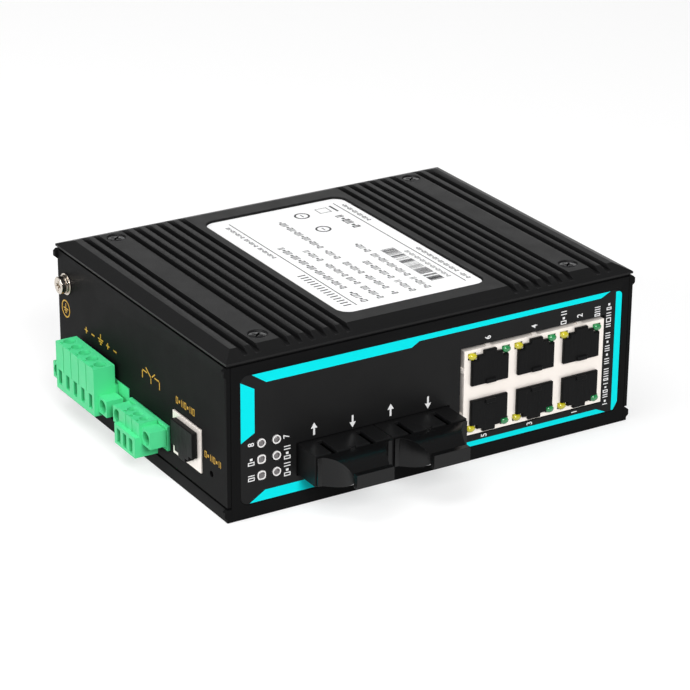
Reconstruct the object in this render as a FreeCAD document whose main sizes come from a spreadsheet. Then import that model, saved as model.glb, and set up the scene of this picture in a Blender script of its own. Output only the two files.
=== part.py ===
import FreeCAD, Part
import math
import os

import Sketcher

# DIN-rail ethernet switch, lying on its plain broad side.
#
# Frame: +Z goes up out of the ribbed cover, -Y is the port panel, -X is the side with the terminal
# plugs and +Y is the rear, which hooks on the rail. The origin is the centre of the housing's
# resting face. The rail runs along Z, its 35 mm width lies along X.

SIZES = {
    # Housing
    "width": 138.0,
    "depth": 107.0,
    "height": 50.4,
    "sheet": 1.2,
    "bend_radius": 0.6,
    "seam": 0.7,
    "seam_inset": 0.7,
    "tongue": 1.5,
    # Top cover, a ribbed casting
    "cover_web": 2.6,
    "bevel_rise": 1.9,
    "bevel_side": 4.1,
    "bevel_end": 5.3,
    "groove_width": 2.0,
    "groove_foot": 1.4,
    "groove_deep": 1.3,
    "groove_pitch": 3.92,
    "groove_edge": 7.35,
    "groove_field": 20.9,
    "label_width": 49.8,
    "label_long": 84.4,
    "label_corner": 4.2,
    "label_recess": 0.85,
    "label_gap": 0.35,
    "label_sheet": 0.2,
    # Bottom cover, a plain tray
    "tray_floor": 2.0,
    "tray_side": 4.0,
    "tray_front": 0.8,
    # Countersunk cover screws
    "screw_side": 16.1,
    "screw_front": 10.9,
    "screw_rear": 9.3,
    "screw_shank": 1.5,
    "screw_head": 2.9,
    "screw_slack": 0.1,
    "screw_length": 5.9,
    "tray_screw_length": 6.2,
    "boss": 4.0,
    "tab_reach": 20.8,
    "tab_width": 9.0,
    "recess_arm": 0.35,
    "recess_reach": 1.5,
    "recess_deep": 1.0,
    # Corner lugs
    "lug_proud": 0.8,
    "lug_tall": 3.0,
    "lug_long": 1.5,
    "lug_slope": 0.7,
    # Front panel and its printed film
    "panel_sheet": 1.5,
    "panel_gap": 0.15,
    "film_left": 4.2,
    "film_right": 3.5,
    "film_low": 4.2,
    "film_above": 6.5,
    "film_corner": 2.7,
    "film_recess": 0.4,
    "film_sheet": 0.25,
    "film_gap": 0.15,
    # Circuit board
    "board_top": 8.7,
    "board_sheet": 1.6,
    "board_gap": 1.2,
    "board_rear": 4.0,
    "post_flats": 5.5,
    "post_side": 6.5,
    "post_inner": 19.4,
    "post_front": 23.5,
    "post_rear": 21.5,
    "post_hole": 1.6,
    "post_screw_head": 2.75,
    "post_screw_tall": 2.0,
    "post_screw_long": 3.0,
    # Two-by-three port block
    "ports_mid": 102.75,
    "ports_edge": 0.45,
    "ports_tall": 27.0,
    "ports_long": 25.4,
    "ports_proud": 0.6,
    "ports_pitch": 16.2,
    "ports_gap": 0.6,
    "shield": 0.3,
    "socket_row": 2.8,
    "socket_wide": 11.8,
    "socket_tall": 7.0,
    "socket_deep": 13.0,
    "latch_wide": 7.6,
    "latch_tall": 1.4,
    "key_wide": 3.4,
    "key_tall": 1.2,
    "finger_proud": 0.5,
    "finger_wide": 1.7,
    "finger_long": 4.0,
    "finger_apex": 1.4,
    "finger_rise": 7.2,
    "light_near": 4.5,
    "light_far": 7.3,
    "light_base": 10.4,
    "light_tall": 2.1,
    "light_deep": 4.0,
    "light_proud": 0.35,
    "contact_pitch": 1.02,
    "contact_wide": 0.4,
    "contact_long": 7.0,
    # Dust plugs of the ports
    "plug_rim": 0.5,
    "plug_edge": 0.25,
    "plug_proud": 1.2,
    "plug_fit": 0.15,
    "plug_long": 8.0,
    "plug_lift": 2.2,
    "nub_wide": 3.5,
    "nub_tall": 1.3,
    "nub_proud": 0.6,
    # Duplex fibre transceivers
    "fibre_apart": 4.65,
    "fibre_pitch": 25.4,
    "fibre_wide": 25.2,
    "fibre_tall": 9.5,
    "fibre_lift": 1.0,
    "fibre_long": 38.6,
    "fibre_proud": 9.5,
    "fibre_gap": 0.25,
    "bore_pitch": 12.7,
    "bore_wide": 9.0,
    "bore_tall": 7.4,
    "bore_deep": 16.0,
    "slot_wide": 1.8,
    "slot_long": 8.4,
    "notch_wide": 1.8,
    "notch_long": 0.9,
    "notch_deep": 0.8,
    "sleeve": 2.3,
    "sleeve_bore": 1.27,
    "sleeve_long": 9.0,
    # Grip caps of the transceivers
    "cap_inset": 0.4,
    "cap_flange": 0.9,
    "cap_grip": 11.9,
    "cap_flare": 10.9,
    "bar_wide": 12.1,
    "bar_tall": 4.3,
    "bar_thick": 1.9,
    "neck_tall": 2.0,
    "cap_side_radius": 14.0,
    "cap_scoop_radius": 13.0,
    "prong": 3.4,
    "prong_bore": 2.6,
    "prong_long": 11.0,
    # Status lights
    "lights_apart": 6.75,
    "lights_step": 4.9,
    "lights_low": 12.3,
    "lights_pitch": 4.975,
    "light_radius": 1.5,
    "light_play": 0.1,
    "holder_wide": 4.4,
    "holder_deep": 5.0,
    "holder_top": 2.4,
    # Five-way supply terminal
    "power_mid": 79.3,
    "power_pitch": 5.08,
    "power_flange": 5.2,
    "power_foot": 8.5,
    "power_top": 23.7,
    "power_out": 8.0,
    "power_low_out": 8.0,
    "power_step": 15.0,
    "power_ear_low": 9.8,
    "power_ear_high": 15.0,
    "power_ear_out": 6.6,
    "power_header_top": 18.4,
    "power_header_ear": 1.9,
    "power_header_out": 0.1,
    "power_well": 1.9,
    "power_well_out": 4.5,
    "power_well_deep": 6.4,
    "power_door_wide": 2.2,
    "power_door_low": 10.3,
    "power_door_high": 14.9,
    "power_rim": 0.0,
    # Three-way relay terminal
    "alarm_pitch": 3.81,
    "alarm_flange": 5.3,
    "alarm_foot": 5.9,
    "alarm_top": 16.6,
    "alarm_out": 7.0,
    "alarm_low_out": 8.5,
    "alarm_step": 12.3,
    "alarm_ear_low": 10.2,
    "alarm_ear_high": 15.4,
    "alarm_ear_out": 6.2,
    "alarm_header_top": 16.3,
    "alarm_header_ear": 0.3,
    "alarm_header_out": 0.8,
    "alarm_well": 1.45,
    "alarm_well_out": 3.9,
    "alarm_well_deep": 4.8,
    "alarm_door_wide": 2.2,
    "alarm_door_low": 6.8,
    "alarm_door_high": 11.2,
    "alarm_rim": 0.7,
    # Both terminals
    "terminal_apart": 1.285,
    "divide_wide": 0.35,
    "divide_deep": 0.3,
    "plug_clear": 1.0,
    "header_long": 10.0,
    "header_wall": 1.1,
    "header_floor": 1.5,
    "plug_reach": 7.5,
    "pole_slack": 0.15,
    "pin": 0.5,
    "pin_rise": 5.0,
    "pin_reach": 6.0,
    "pin_tail": 2.0,
    "pin_below": 3.2,
    "pin_play": 0.3,
    "cage_wall": 0.35,
    "cage_long": 3.6,
    "door_deep": 5.6,
    "cage_set": 1.6,
    "clamp_head": 1.5,
    "clamp_head_slack": 0.15,
    "clamp_shank": 0.9,
    "ear_hole": 1.2,
    "ear_head": 1.9,
    "ear_head_deep": 1.6,
    "ear_screw_long": 10.5,
    "probe_wide": 1.3,
    "probe_long": 0.8,
    "probe_deep": 1.4,
    "probe_edge": 0.9,
    "cutout_play": 0.3,
    # Console jack
    "jack_mid": 23.15,
    "jack_wide": 16.7,
    "jack_tall": 13.4,
    "jack_long": 16.0,
    "jack_lift": 0.8,
    "jack_proud": 0.3,
    "jack_row": 2.0,
    "jack_plug_proud": 1.8,
    # Restart switch behind its pinhole
    "reload_place": 9.15,
    "reload_rise": 11.7,
    "pinhole": 1.0,
    "tact_wide": 6.0,
    "tact_tall": 6.2,
    "tact_long": 3.6,
    "tact_gap": 1.9,
    "plunger": 1.6,
    "plunger_bore": 1.75,
    "plunger_gap": 0.3,
    "plunger_end": 0.5,
    "plunger_deep": 2.6,
    # Cases on the board
    "chip_side": 23.0,
    "chip_tall": 2.4,
    "chip_place": 65.0,
    "chip_back": 41.5,
    "magnetics_wide": 13.0,
    "magnetics_long": 15.5,
    "magnetics_tall": 6.0,
    "magnetics_gap": 3.0,
    "converter_wide": 20.0,
    "converter_long": 30.0,
    "converter_tall": 10.0,
    "converter_place": 35.0,
    "converter_back": 33.5,
    "relay_wide": 7.5,
    "relay_long": 15.0,
    "relay_tall": 10.0,
    "relay_place": 19.0,
    "relay_front": 45.5,
    "can_radius": 4.0,
    "can_tall": 12.0,
    "can_pitch": 9.5,
    "can_place": 41.5,
    "can_back": 11.5,
    # Ground screw
    "ground_place": 99.8,
    "ground_drop": 12.6,
    "ground_shank": 1.5,
    "ground_head": 2.7,
    "ground_head_tall": 1.7,
    "ground_flat": 3.4,
    "ground_flat_thick": 0.5,
    "ground_split": 2.9,
    "ground_split_thick": 0.7,
    "ground_split_gap": 0.6,
    "ground_nut": 3.1,
    "ground_nut_tall": 2.5,
    "ground_end": 1.0,
    "ground_play": 0.1,
    # Rail hook
    "rail_wide": 35.0,
    "rail_sheet": 1.5,
    "rail_play": 0.2,
    "hook_base": 2.5,
    "hook_lip": 1.8,
    "hook_over": 2.4,
    "hook_wall": 2.5,
    "hook_spring_room": 3.2,
    "hook_end": 5.2,
    "spring_sheet": 0.5,
    "spring_side": 0.1,
    "spring_long": 34.0,
    "hook_screw_inset": 5.0,
    "hook_screw_head": 2.6,
    "hook_screw_long": 4.6,
    "hook_screw_sink": 1.5,
}

CORNERS = [(side, end) for side in (-1, 1) for end in (-1, 1)]
PORT_COLUMNS = (1, 0, -1)
STATUS_ROWS = 3
POLES = {"power": 5, "alarm": 3}
WAYS = 8

DOC = FreeCAD.newDocument("din_rail_ethernet_switch")
PARTS = []


# ---------------------------------------------------------------- sizes and their expressions

class Size:
    """A length that knows both its value and the sheet expression that gives it."""

    def __init__(self, value, text):
        self.value = value
        self.text = text

    @staticmethod
    def of(number):
        if isinstance(number, Size):
            return number
        return Size(float(number), "(%.6g)" % number)

    def joined(self, sign, other, value):
        return Size(value, "(%s %s %s)" % (self.text, sign, other.text))

    def __add__(self, other):
        other = Size.of(other)
        return self.joined("+", other, self.value + other.value)

    def __radd__(self, other):
        return Size.of(other) + self

    def __sub__(self, other):
        other = Size.of(other)
        return self.joined("-", other, self.value - other.value)

    def __rsub__(self, other):
        return Size.of(other) - self

    def __mul__(self, other):
        other = Size.of(other)
        return self.joined("*", other, self.value * other.value)

    def __rmul__(self, other):
        return Size.of(other) * self

    def __truediv__(self, other):
        other = Size.of(other)
        return self.joined("/", other, self.value / other.value)

    def __neg__(self):
        return Size(-self.value, "(-%s)" % self.text)


class Dimensions:
    """The driving sheet: each alias reads as a Size bound to its cell."""

    def __init__(self, table):
        self.cells = DOC.addObject("Spreadsheet::Sheet", "dims")
        for row, (alias, value) in enumerate(table.items(), start=1):
            self.cells.set("A%d" % row, alias)
            self.cells.set("B%d" % row, str(value))
            self.cells.setAlias("B%d" % row, alias)
        DOC.recompute()

    def __getattr__(self, alias):
        return Size(float(self.cells.get(alias)), "dims." + alias)


D = Dimensions(SIZES)


def bind(item, name, size):
    item.setExpression(name, Size.of(size).text)


# ---------------------------------------------------------------- outlines for sketches

def path(points):
    """A closed line. A third number on a point bends the edge after it to that radius:
    positive keeps the arc's centre on the left of the travel, negative on the right."""

    def draw(sketch):
        first = sketch.GeometryCount
        spots = [FreeCAD.Vector(Size.of(p[0]).value, Size.of(p[1]).value, 0) for p in points]
        bends = [Size.of(p[2]) if len(p) > 2 else None for p in points]
        heads = []
        tails = []
        for index, spot in enumerate(spots):
            ahead = spots[(index + 1) % len(spots)]
            bend = bends[index]
            if bend is None:
                sketch.addGeometry(Part.LineSegment(spot, ahead), False)
            else:
                sketch.addGeometry(arc_between(spot, ahead, bend.value), False)
            turned = bend is not None and bend.value < 0
            heads.append(2 if turned else 1)
            tails.append(1 if turned else 2)
        for index, point in enumerate(points):
            edge = first + index
            behind = first + (index - 1) % len(points)
            sketch.addConstraint(Sketcher.Constraint("Coincident", behind, tails[index - 1],
                                                     edge, heads[index]))
            fix(sketch, "DistanceX", (-1, 1, edge, heads[index]), point[0])
            fix(sketch, "DistanceY", (-1, 1, edge, heads[index]), point[1])
            if bends[index] is not None:
                radius = bends[index] if bends[index].value > 0 else -bends[index]
                fix(sketch, "Radius", (edge,), radius)

    return draw


def arc_between(start, end, bend):
    chord = end - start
    half = chord.Length / 2
    rise = math.sqrt(bend * bend - half * half)
    left = FreeCAD.Vector(-chord.y, chord.x, 0).normalize()
    centre = (start + end) / 2 + left * (rise if bend > 0 else -rise)
    low, high = (start, end) if bend > 0 else (end, start)
    circle = Part.Circle(centre, FreeCAD.Vector(0, 0, 1), abs(bend))
    angles = [math.atan2(spot.y - centre.y, spot.x - centre.x) for spot in (low, high)]
    return Part.ArcOfCircle(circle, angles[0], angles[1])


def fix(sketch, kind, where, size):
    size = Size.of(size)
    number = sketch.addConstraint(Sketcher.Constraint(kind, *where, size.value))
    sketch.setExpression("Constraints[%d]" % number, size.text)


def rect(left, right, low, high):
    return path([(left, low), (right, low), (right, high), (left, high)])


def rounded(left, right, low, high, corner):
    """A rectangle with round corners."""
    return path([
        (left + corner, low), (right - corner, low, corner),
        (right, low + corner), (right, high - corner, corner),
        (right - corner, high), (left + corner, high, corner),
        (left, high - corner), (left, low + corner, corner),
    ])


def circle(across, up, radius):
    def draw(sketch):
        spot = FreeCAD.Vector(Size.of(across).value, Size.of(up).value, 0)
        ring = Part.Circle(spot, FreeCAD.Vector(0, 0, 1), Size.of(radius).value)
        index = sketch.addGeometry(ring, False)
        fix(sketch, "DistanceX", (-1, 1, index, 3), across)
        fix(sketch, "DistanceY", (-1, 1, index, 3), up)
        fix(sketch, "Radius", (index,), radius)

    return draw


# ---------------------------------------------------------------- bodies built feature by feature

PLANES = {"xy": "XY_Plane", "xz": "XZ_Plane", "yz": "YZ_Plane"}


class Body:
    """A PartDesign body. Spans run along the sketch plane's normal: Z, Y or X, low to high."""

    def __init__(self, label):
        self.body = DOC.addObject("PartDesign::Body", label)
        self.body.Label = label
        self.count = 0
        PARTS.append(self.body)

    def origin(self, role):
        return [item for item in self.body.Origin.OriginFeatures if item.Role == role][0]

    def name(self, kind):
        self.count += 1
        return "%s_%s_%d" % (self.body.Label, kind, self.count)

    def sketch(self, plane, level, outlines):
        sketch = self.body.newObject("Sketcher::SketchObject", self.name("sketch"))
        sketch.AttachmentSupport = [(self.origin(PLANES[plane]), "")]
        sketch.MapMode = "FlatFace"
        bind(sketch, "AttachmentOffset.Base.z", -level if plane == "xz" else level)
        for outline in outlines:
            outline(sketch)
        return sketch

    def pad(self, plane, span, *outlines):
        start = span[1] if plane == "xz" else span[0]
        feature = self.body.newObject("PartDesign::Pad", self.name("pad"))
        feature.Profile = self.sketch(plane, Size.of(start), outlines)
        bind(feature, "Length", Size.of(span[1]) - span[0])
        return feature

    def pocket(self, plane, span, *outlines):
        start = span[0] if plane == "xz" else span[1]
        feature = self.body.newObject("PartDesign::Pocket", self.name("pocket"))
        feature.Profile = self.sketch(plane, Size.of(start), outlines)
        bind(feature, "Length", Size.of(span[1]) - span[0])
        return feature

    def loft(self, low, low_outline, high, high_outline):
        """A solid between an outline at one height and an outline at another."""
        feature = self.body.newObject("PartDesign::AdditiveLoft", self.name("loft"))
        feature.Profile = self.sketch("xy", low, [low_outline])
        feature.Sections = [self.sketch("xy", high, [high_outline])]
        feature.Ruled = True
        return feature

    def spread(self, feature, role, pitch, count, mirrored=False):
        """Repeats a feature in a row along an origin axis, then across the YZ plane."""
        row = self.body.newObject("PartDesign::LinearPattern", self.name("row"))
        row.Direction = (self.origin(role), [""])
        row.Occurrences = count
        bind(row, "Length", pitch * (count - 1))
        if mirrored:
            twin = self.body.newObject("PartDesign::Mirrored", self.name("twin"))
            twin.MirrorPlane = (self.origin("YZ_Plane"), [""])
            both = self.body.newObject("PartDesign::MultiTransform", self.name("spread"))
            both.Originals = [feature]
            both.Transformations = [row, twin]
            self.body.Tip = both
        else:
            row.Originals = [feature]
            self.body.Tip = row

    def edges(self, test):
        DOC.recompute()
        shape = self.body.Tip.Shape
        return ["Edge%d" % (index + 1) for index, edge in enumerate(shape.Edges) if test(edge)]

    def dress(self, kind, size, test):
        """Fillets or chamfers the edges that pass the test."""
        names = self.edges(test)
        base = self.body.Tip
        feature = self.body.newObject("PartDesign::" + kind, self.name(kind.lower()))
        feature.Base = (base, names)
        bind(feature, "Radius" if kind == "Fillet" else "Size", size)
        return feature


def upright(edge):
    box = edge.BoundBox
    return box.XLength < 1e-6 and box.YLength < 1e-6


def lies_on(edge, axis, size):
    """True for an edge that lies wholly in the plane across one axis at a size."""
    box = edge.BoundBox
    low, high = {"x": (box.XMin, box.XMax), "y": (box.YMin, box.YMax),
                 "z": (box.ZMin, box.ZMax)}[axis]
    level = Size.of(size).value
    return abs(low - level) < 1e-4 and abs(high - level) < 1e-4


# ---------------------------------------------------------------- simple pieces and their joins

TURNS = {
    "x": FreeCAD.Rotation(FreeCAD.Vector(0, 1, 0), 90),
    "y": FreeCAD.Rotation(FreeCAD.Vector(1, 0, 0), -90),
    "z": FreeCAD.Rotation(),
}


def set_place(item, spot, rotation):
    item.Placement = FreeCAD.Placement(FreeCAD.Vector(0, 0, 0), rotation)
    for axis, size in zip("xyz", spot):
        bind(item, "Placement.Base." + axis, size)


def along(axis, centre, start):
    """The point at a start along one axis, with a centre in the other two."""
    first, second = centre
    return {"x": (start, first, second), "y": (first, start, second),
            "z": (first, second, start)}[axis]


def block(xs, ys, zs):
    item = DOC.addObject("Part::Box", "block")
    for name, span in (("Length", xs), ("Width", ys), ("Height", zs)):
        bind(item, name, Size.of(span[1]) - span[0])
    set_place(item, (xs[0], ys[0], zs[0]), TURNS["z"])
    return item


def rod(axis, centre, span, radius):
    item = DOC.addObject("Part::Cylinder", "rod")
    bind(item, "Radius", radius)
    bind(item, "Height", Size.of(span[1]) - span[0])
    set_place(item, along(axis, centre, span[0]), TURNS[axis])
    return item


def cone(axis, centre, span, start_radius, end_radius):
    item = DOC.addObject("Part::Cone", "cone")
    bind(item, "Radius1", start_radius)
    bind(item, "Radius2", end_radius)
    bind(item, "Height", Size.of(span[1]) - span[0])
    set_place(item, along(axis, centre, span[0]), TURNS[axis])
    return item


def hexagon(axis, centre, span, flats):
    item = DOC.addObject("Part::Prism", "hexagon")
    item.Polygon = 6
    bind(item, "Circumradius", flats / math.sqrt(3))
    bind(item, "Height", Size.of(span[1]) - span[0])
    set_place(item, along(axis, centre, span[0]), TURNS[axis])
    return item


def fuse(*items):
    result = DOC.addObject("Part::MultiFuse", "fuse")
    result.Shapes = list(items)
    return result


def cut(base, *tools):
    result = DOC.addObject("Part::Cut", "cut")
    result.Base = base
    result.Tool = tools[0] if len(tools) == 1 else fuse(*tools)
    return result


def piece(label, item):
    """Names the finished object of one sub-part."""
    item.Label = label
    PARTS.append(item)
    return item


def group(label, items):
    """Like pieces that share one node, each its own solid."""
    result = DOC.addObject("Part::Compound", label)
    result.Links = list(items)
    return piece(label, result)


# ---------------------------------------------------------------- shared places

LEFT = -D.width / 2
RIGHT = D.width / 2
FRONT = -D.depth / 2
REAR = D.depth / 2
COVER_LOW = D.height - D.cover_web
FRAME_TOP = COVER_LOW - D.seam
FRAME_LOW = D.tray_side + D.seam
INNER_LEFT = LEFT + D.sheet
INNER_RIGHT = RIGHT - D.sheet
PANEL_BACK = FRONT + D.panel_sheet
BOARD_LOW = D.board_top - D.board_sheet
FILM_HIGH = D.height - D.film_above
PORTS_MIDDLE = LEFT + D.ports_mid
PORTS_HALF = D.ports_pitch * len(PORT_COLUMNS) / 2 + D.ports_edge
FIBRE_HALF = (D.fibre_pitch + D.fibre_wide) / 2
FIBRE_MIDDLE = PORTS_MIDDLE - PORTS_HALF - D.fibre_apart - FIBRE_HALF
LIGHTS_RIGHT = FIBRE_MIDDLE - FIBRE_HALF - D.lights_apart


def cover_screws():
    """The four places where screws hold each cover."""
    return [(side * (D.width / 2 - D.screw_side),
             FRONT + D.screw_front if end < 0 else REAR - D.screw_rear)
            for side, end in CORNERS]


# ---------------------------------------------------------------- housing

def top_cover():
    """The ribbed cover: a bevelled plate with open grooves and a recess for the rating label."""
    body = Body("top_cover")
    rim_top = D.height - D.bevel_rise
    whole = rect(LEFT, RIGHT, FRONT, REAR)
    crown = rect(LEFT + D.bevel_side, RIGHT - D.bevel_side, FRONT + D.bevel_end, REAR - D.bevel_end)
    body.pad("xy", (COVER_LOW, rim_top), whole)
    body.loft(rim_top, whole, D.height, crown)
    inner = D.seam_inset + D.tongue
    body.pad("xy", (FRAME_TOP, COVER_LOW),
             rect(LEFT + D.seam_inset, RIGHT - D.seam_inset, FRONT + D.seam_inset, REAR - D.seam_inset),
             rect(LEFT + inner, RIGHT - inner, FRONT + inner, REAR - inner))
    body.pad("xy", (FRAME_TOP, COVER_LOW), *bosses())
    for edge, count in ((D.groove_edge, 2), (D.groove_field, 6)):
        groove = body.pocket("xz", (FRONT, REAR), groove_section(LEFT + edge))
        body.spread(groove, "X_Axis", D.groove_pitch, count, mirrored=True)
    half = D.label_width / 2
    long = D.label_long / 2
    body.pocket("xy", (D.height - D.label_recess, D.height),
                rounded(-half, half, -long, long, D.label_corner))
    body.pocket("xy", (FRAME_TOP, D.height),
                *[circle(x, y, D.screw_shank + D.screw_slack) for x, y in cover_screws()])
    piece_cut = cut(body.body, *countersinks(D.height, -1))
    rename(body, piece_cut)


def bosses():
    """Square bosses that back the cover screws."""
    return [rect(x - D.boss, x + D.boss, y - D.boss, y + D.boss) for x, y in cover_screws()]


def groove_section(middle):
    """A groove's section: a flat foot and sides that open a little upward."""
    half_foot = D.groove_foot / 2
    half_top = D.groove_width / 2
    return path([(middle - half_foot, D.height - D.groove_deep),
                 (middle + half_foot, D.height - D.groove_deep),
                 (middle + half_top, D.height), (middle - half_top, D.height)])


def countersinks(face, inward):
    """Cones for the screw heads, sunk from a face towards the inside."""
    depth = D.screw_head - D.screw_shank
    mouth = D.screw_head + D.screw_slack
    foot = D.screw_shank + D.screw_slack
    tools = []
    for x, y in cover_screws():
        if inward < 0:
            tools.append(cone("z", (x, y), (face - depth, face), foot, mouth))
        else:
            tools.append(cone("z", (x, y), (face, face + depth), mouth, foot))
    return tools


def rename(body, finished):
    """Lets a boolean result stand for a body as the finished sub-part."""
    label = body.body.Label
    body.body.Label = label + "_casting"
    PARTS.remove(body.body)
    piece(label, finished)


def bottom_cover():
    """The tray: a floor with a rim on three sides and a low front edge under the panel."""
    body = Body("bottom_cover")
    behind = PANEL_BACK + D.panel_gap
    rim = D.seam_inset + D.tongue
    inset = D.seam_inset
    beside = INNER_LEFT + D.panel_gap
    body.pad("xy", (0, D.tray_front), rect(LEFT, RIGHT, FRONT, REAR))
    body.pad("xy", (D.tray_front, D.tray_floor), path([
        (LEFT, FRONT), (beside, FRONT), (beside, behind), (-beside, behind),
        (-beside, FRONT), (RIGHT, FRONT), (RIGHT, REAR), (LEFT, REAR)]))
    body.pad("xy", (D.tray_floor, D.tray_side), path([
        (LEFT, FRONT), (beside, FRONT), (beside, behind), (LEFT + rim, behind),
        (LEFT + rim, REAR - rim), (RIGHT - rim, REAR - rim), (RIGHT - rim, behind),
        (-beside, behind), (-beside, FRONT), (RIGHT, FRONT), (RIGHT, REAR), (LEFT, REAR)]))
    body.pad("xy", (D.tray_side, FRAME_LOW), path([
        (LEFT + inset, behind), (LEFT + rim, behind), (LEFT + rim, REAR - rim),
        (RIGHT - rim, REAR - rim), (RIGHT - rim, behind), (RIGHT - inset, behind),
        (RIGHT - inset, REAR - inset), (LEFT + inset, REAR - inset)]))
    body.pad("xy", (D.tray_floor, FRAME_LOW), *bosses())
    add_lugs(body, D.tray_side - D.lug_tall)
    body.pocket("xy", (0, FRAME_LOW),
                *[circle(x, y, D.screw_shank + D.screw_slack) for x, y in cover_screws()])
    finished = cut(body.body, *countersinks(Size.of(0), 1))
    rename(body, finished)


def add_lugs(body, low):
    """Small blunt lugs at the ends of both side walls."""
    for side in (-1, 1):
        face = side * D.width / 2
        out = face + side * D.lug_proud
        root = face - side * D.sheet
        outline = path([(root, low), (face, low), (out, low + D.lug_slope),
                        (out, low + D.lug_tall - D.lug_slope), (face, low + D.lug_tall),
                        (root, low + D.lug_tall)])
        body.pad("xz", (FRONT, FRONT + D.lug_long), outline)
        body.pad("xz", (REAR - D.lug_long, REAR), outline)


def chassis_frame():
    """One folded sheet: the terminal side, the rear and the far side, with screw tabs folded in."""
    body = Body("chassis_frame")
    body.pad("xy", (FRAME_LOW, FRAME_TOP), path([
        (LEFT, FRONT), (INNER_LEFT, FRONT), (INNER_LEFT, REAR - D.sheet),
        (INNER_RIGHT, REAR - D.sheet), (INNER_RIGHT, FRONT), (RIGHT, FRONT),
        (RIGHT, REAR), (LEFT, REAR)]))

    def outer_bend(edge):
        box = edge.BoundBox
        return upright(edge) and box.YMin > REAR.value - 1e-3

    def inner_bend(edge):
        box = edge.BoundBox
        return upright(edge) and abs(box.YMin - (REAR - D.sheet).value) < 1e-3

    body.dress("Fillet", D.bend_radius + D.sheet, outer_bend)
    body.dress("Fillet", D.bend_radius, inner_bend)
    half = D.tab_width / 2
    for low in (FRAME_LOW, FRAME_TOP - D.sheet):
        tabs = []
        for (side, _), (_, y) in zip(CORNERS, cover_screws()):
            wall = side * (D.width / 2 - D.sheet)
            tip = side * (D.width / 2 - D.tab_reach)
            tabs.append(rect(wall, tip, y - half, y + half) if side < 0
                        else rect(tip, wall, y - half, y + half))
        body.pad("xy", (low, low + D.sheet), *tabs)
        body.pocket("xy", (low, low + D.sheet),
                    *[circle(x, y, D.screw_shank + D.screw_slack) for x, y in cover_screws()])
    add_lugs(body, FRAME_TOP - D.lug_tall)
    side_openings = [header_cutout("power"), header_cutout("alarm"), jack_cutout(),
                     circle(FRONT + D.reload_place, D.reload_rise, D.pinhole),
                     circle(*GROUND, D.ground_shank + D.ground_play)]
    body.pocket("yz", (LEFT, INNER_LEFT), *side_openings)
    body.pocket("xz", (REAR - D.sheet, REAR),
                *[circle(x, z, D.screw_shank + D.screw_slack) for x, z in rail_screws()])


def front_panel():
    """The port panel, held between the side walls and the two covers."""
    body = Body("front_panel")
    side = INNER_RIGHT - D.panel_gap
    body.pad("xz", (FRONT, PANEL_BACK), rect(-side, side, D.tray_front, FRAME_TOP))
    body.pocket("xz", (FRONT, FRONT + D.film_recess), film_outline(0))
    body.pocket("xz", (FRONT, PANEL_BACK), ports_opening(), fibre_opening(),
                *light_holes(D.light_radius + D.light_play))


def film_outline(inset):
    return rounded(LEFT + D.film_left + inset, RIGHT - D.film_right - inset,
                   D.film_low + inset, FILM_HIGH - inset, D.film_corner - inset)


def ports_opening(more=0.0):
    half = PORTS_HALF + D.ports_gap + more
    return rect(PORTS_MIDDLE - half, PORTS_MIDDLE + half, D.board_top - D.ports_gap - more,
                D.board_top + D.ports_tall + D.ports_gap + more)


def fibre_opening(more=0.0):
    half = FIBRE_HALF + D.fibre_gap + more
    low = D.board_top + D.fibre_lift
    return rect(FIBRE_MIDDLE - half, FIBRE_MIDDLE + half, low - D.fibre_gap - more,
                low + D.fibre_tall + D.fibre_gap + more)


def light_columns():
    return (LIGHTS_RIGHT - D.lights_step, LIGHTS_RIGHT)


def light_places():
    return [(x, D.lights_low + D.lights_pitch * row)
            for x in light_columns() for row in range(STATUS_ROWS)]


def light_holes(radius):
    return [circle(x, z, radius) for x, z in light_places()]


def front_overlay():
    """The printed film in the panel's recess, open over the ports and the lights."""
    body = Body("front_overlay")
    back = FRONT + D.film_recess
    more = D.film_gap
    body.pad("xz", (back - D.film_sheet, back), film_outline(D.film_gap))
    body.pocket("xz", (back - D.film_sheet, back), ports_opening(more), fibre_opening(more),
                *light_holes(D.light_radius + D.light_play))


def rating_label():
    body = Body("rating_label")
    floor = D.height - D.label_recess
    half = D.label_width / 2 - D.label_gap
    long = D.label_long / 2 - D.label_gap
    body.pad("xy", (floor, floor + D.label_sheet),
             rounded(-half, half, -long, long, D.label_corner - D.label_gap))


def countersunk_screws(label, face, inward, length):
    """Countersunk screws, flush with the cover's face."""
    head = D.screw_head - D.screw_shank
    screws = []
    for x, y in cover_screws():
        neck = face + inward * head
        tip = face + inward * length
        if inward < 0:
            top = cone("z", (x, y), (neck, face), D.screw_shank, D.screw_head)
            shank = rod("z", (x, y), (tip, neck), D.screw_shank)
        else:
            top = cone("z", (x, y), (face, neck), D.screw_head, D.screw_shank)
            shank = rod("z", (x, y), (neck, tip), D.screw_shank)
        screws.append(fuse(top, shank))
    group(label, screws)


# ---------------------------------------------------------------- circuit board and its posts

def post_places():
    places = []
    for side, end in CORNERS:
        x = LEFT + D.post_inner if side < 0 else RIGHT - D.post_side
        y = FRONT + D.post_front if end < 0 else REAR - D.post_rear
        places.append((x, y))
    return places


def main_board():
    body = Body("main_board")
    side = INNER_LEFT + D.board_gap
    body.pad("xy", (BOARD_LOW, D.board_top),
             rect(side, -side, PANEL_BACK + D.panel_gap + D.board_gap, REAR - D.board_rear))
    holes = [circle(x, y, D.post_hole) for x, y in post_places()]
    half = D.pin + D.pin_play
    turn = tail_place()
    for kind in POLES:
        holes += [rect(turn - half, turn + half, y - half, y + half) for y in poles(kind)]
    body.pocket("xy", (BOARD_LOW, D.board_top), *holes)


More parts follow.
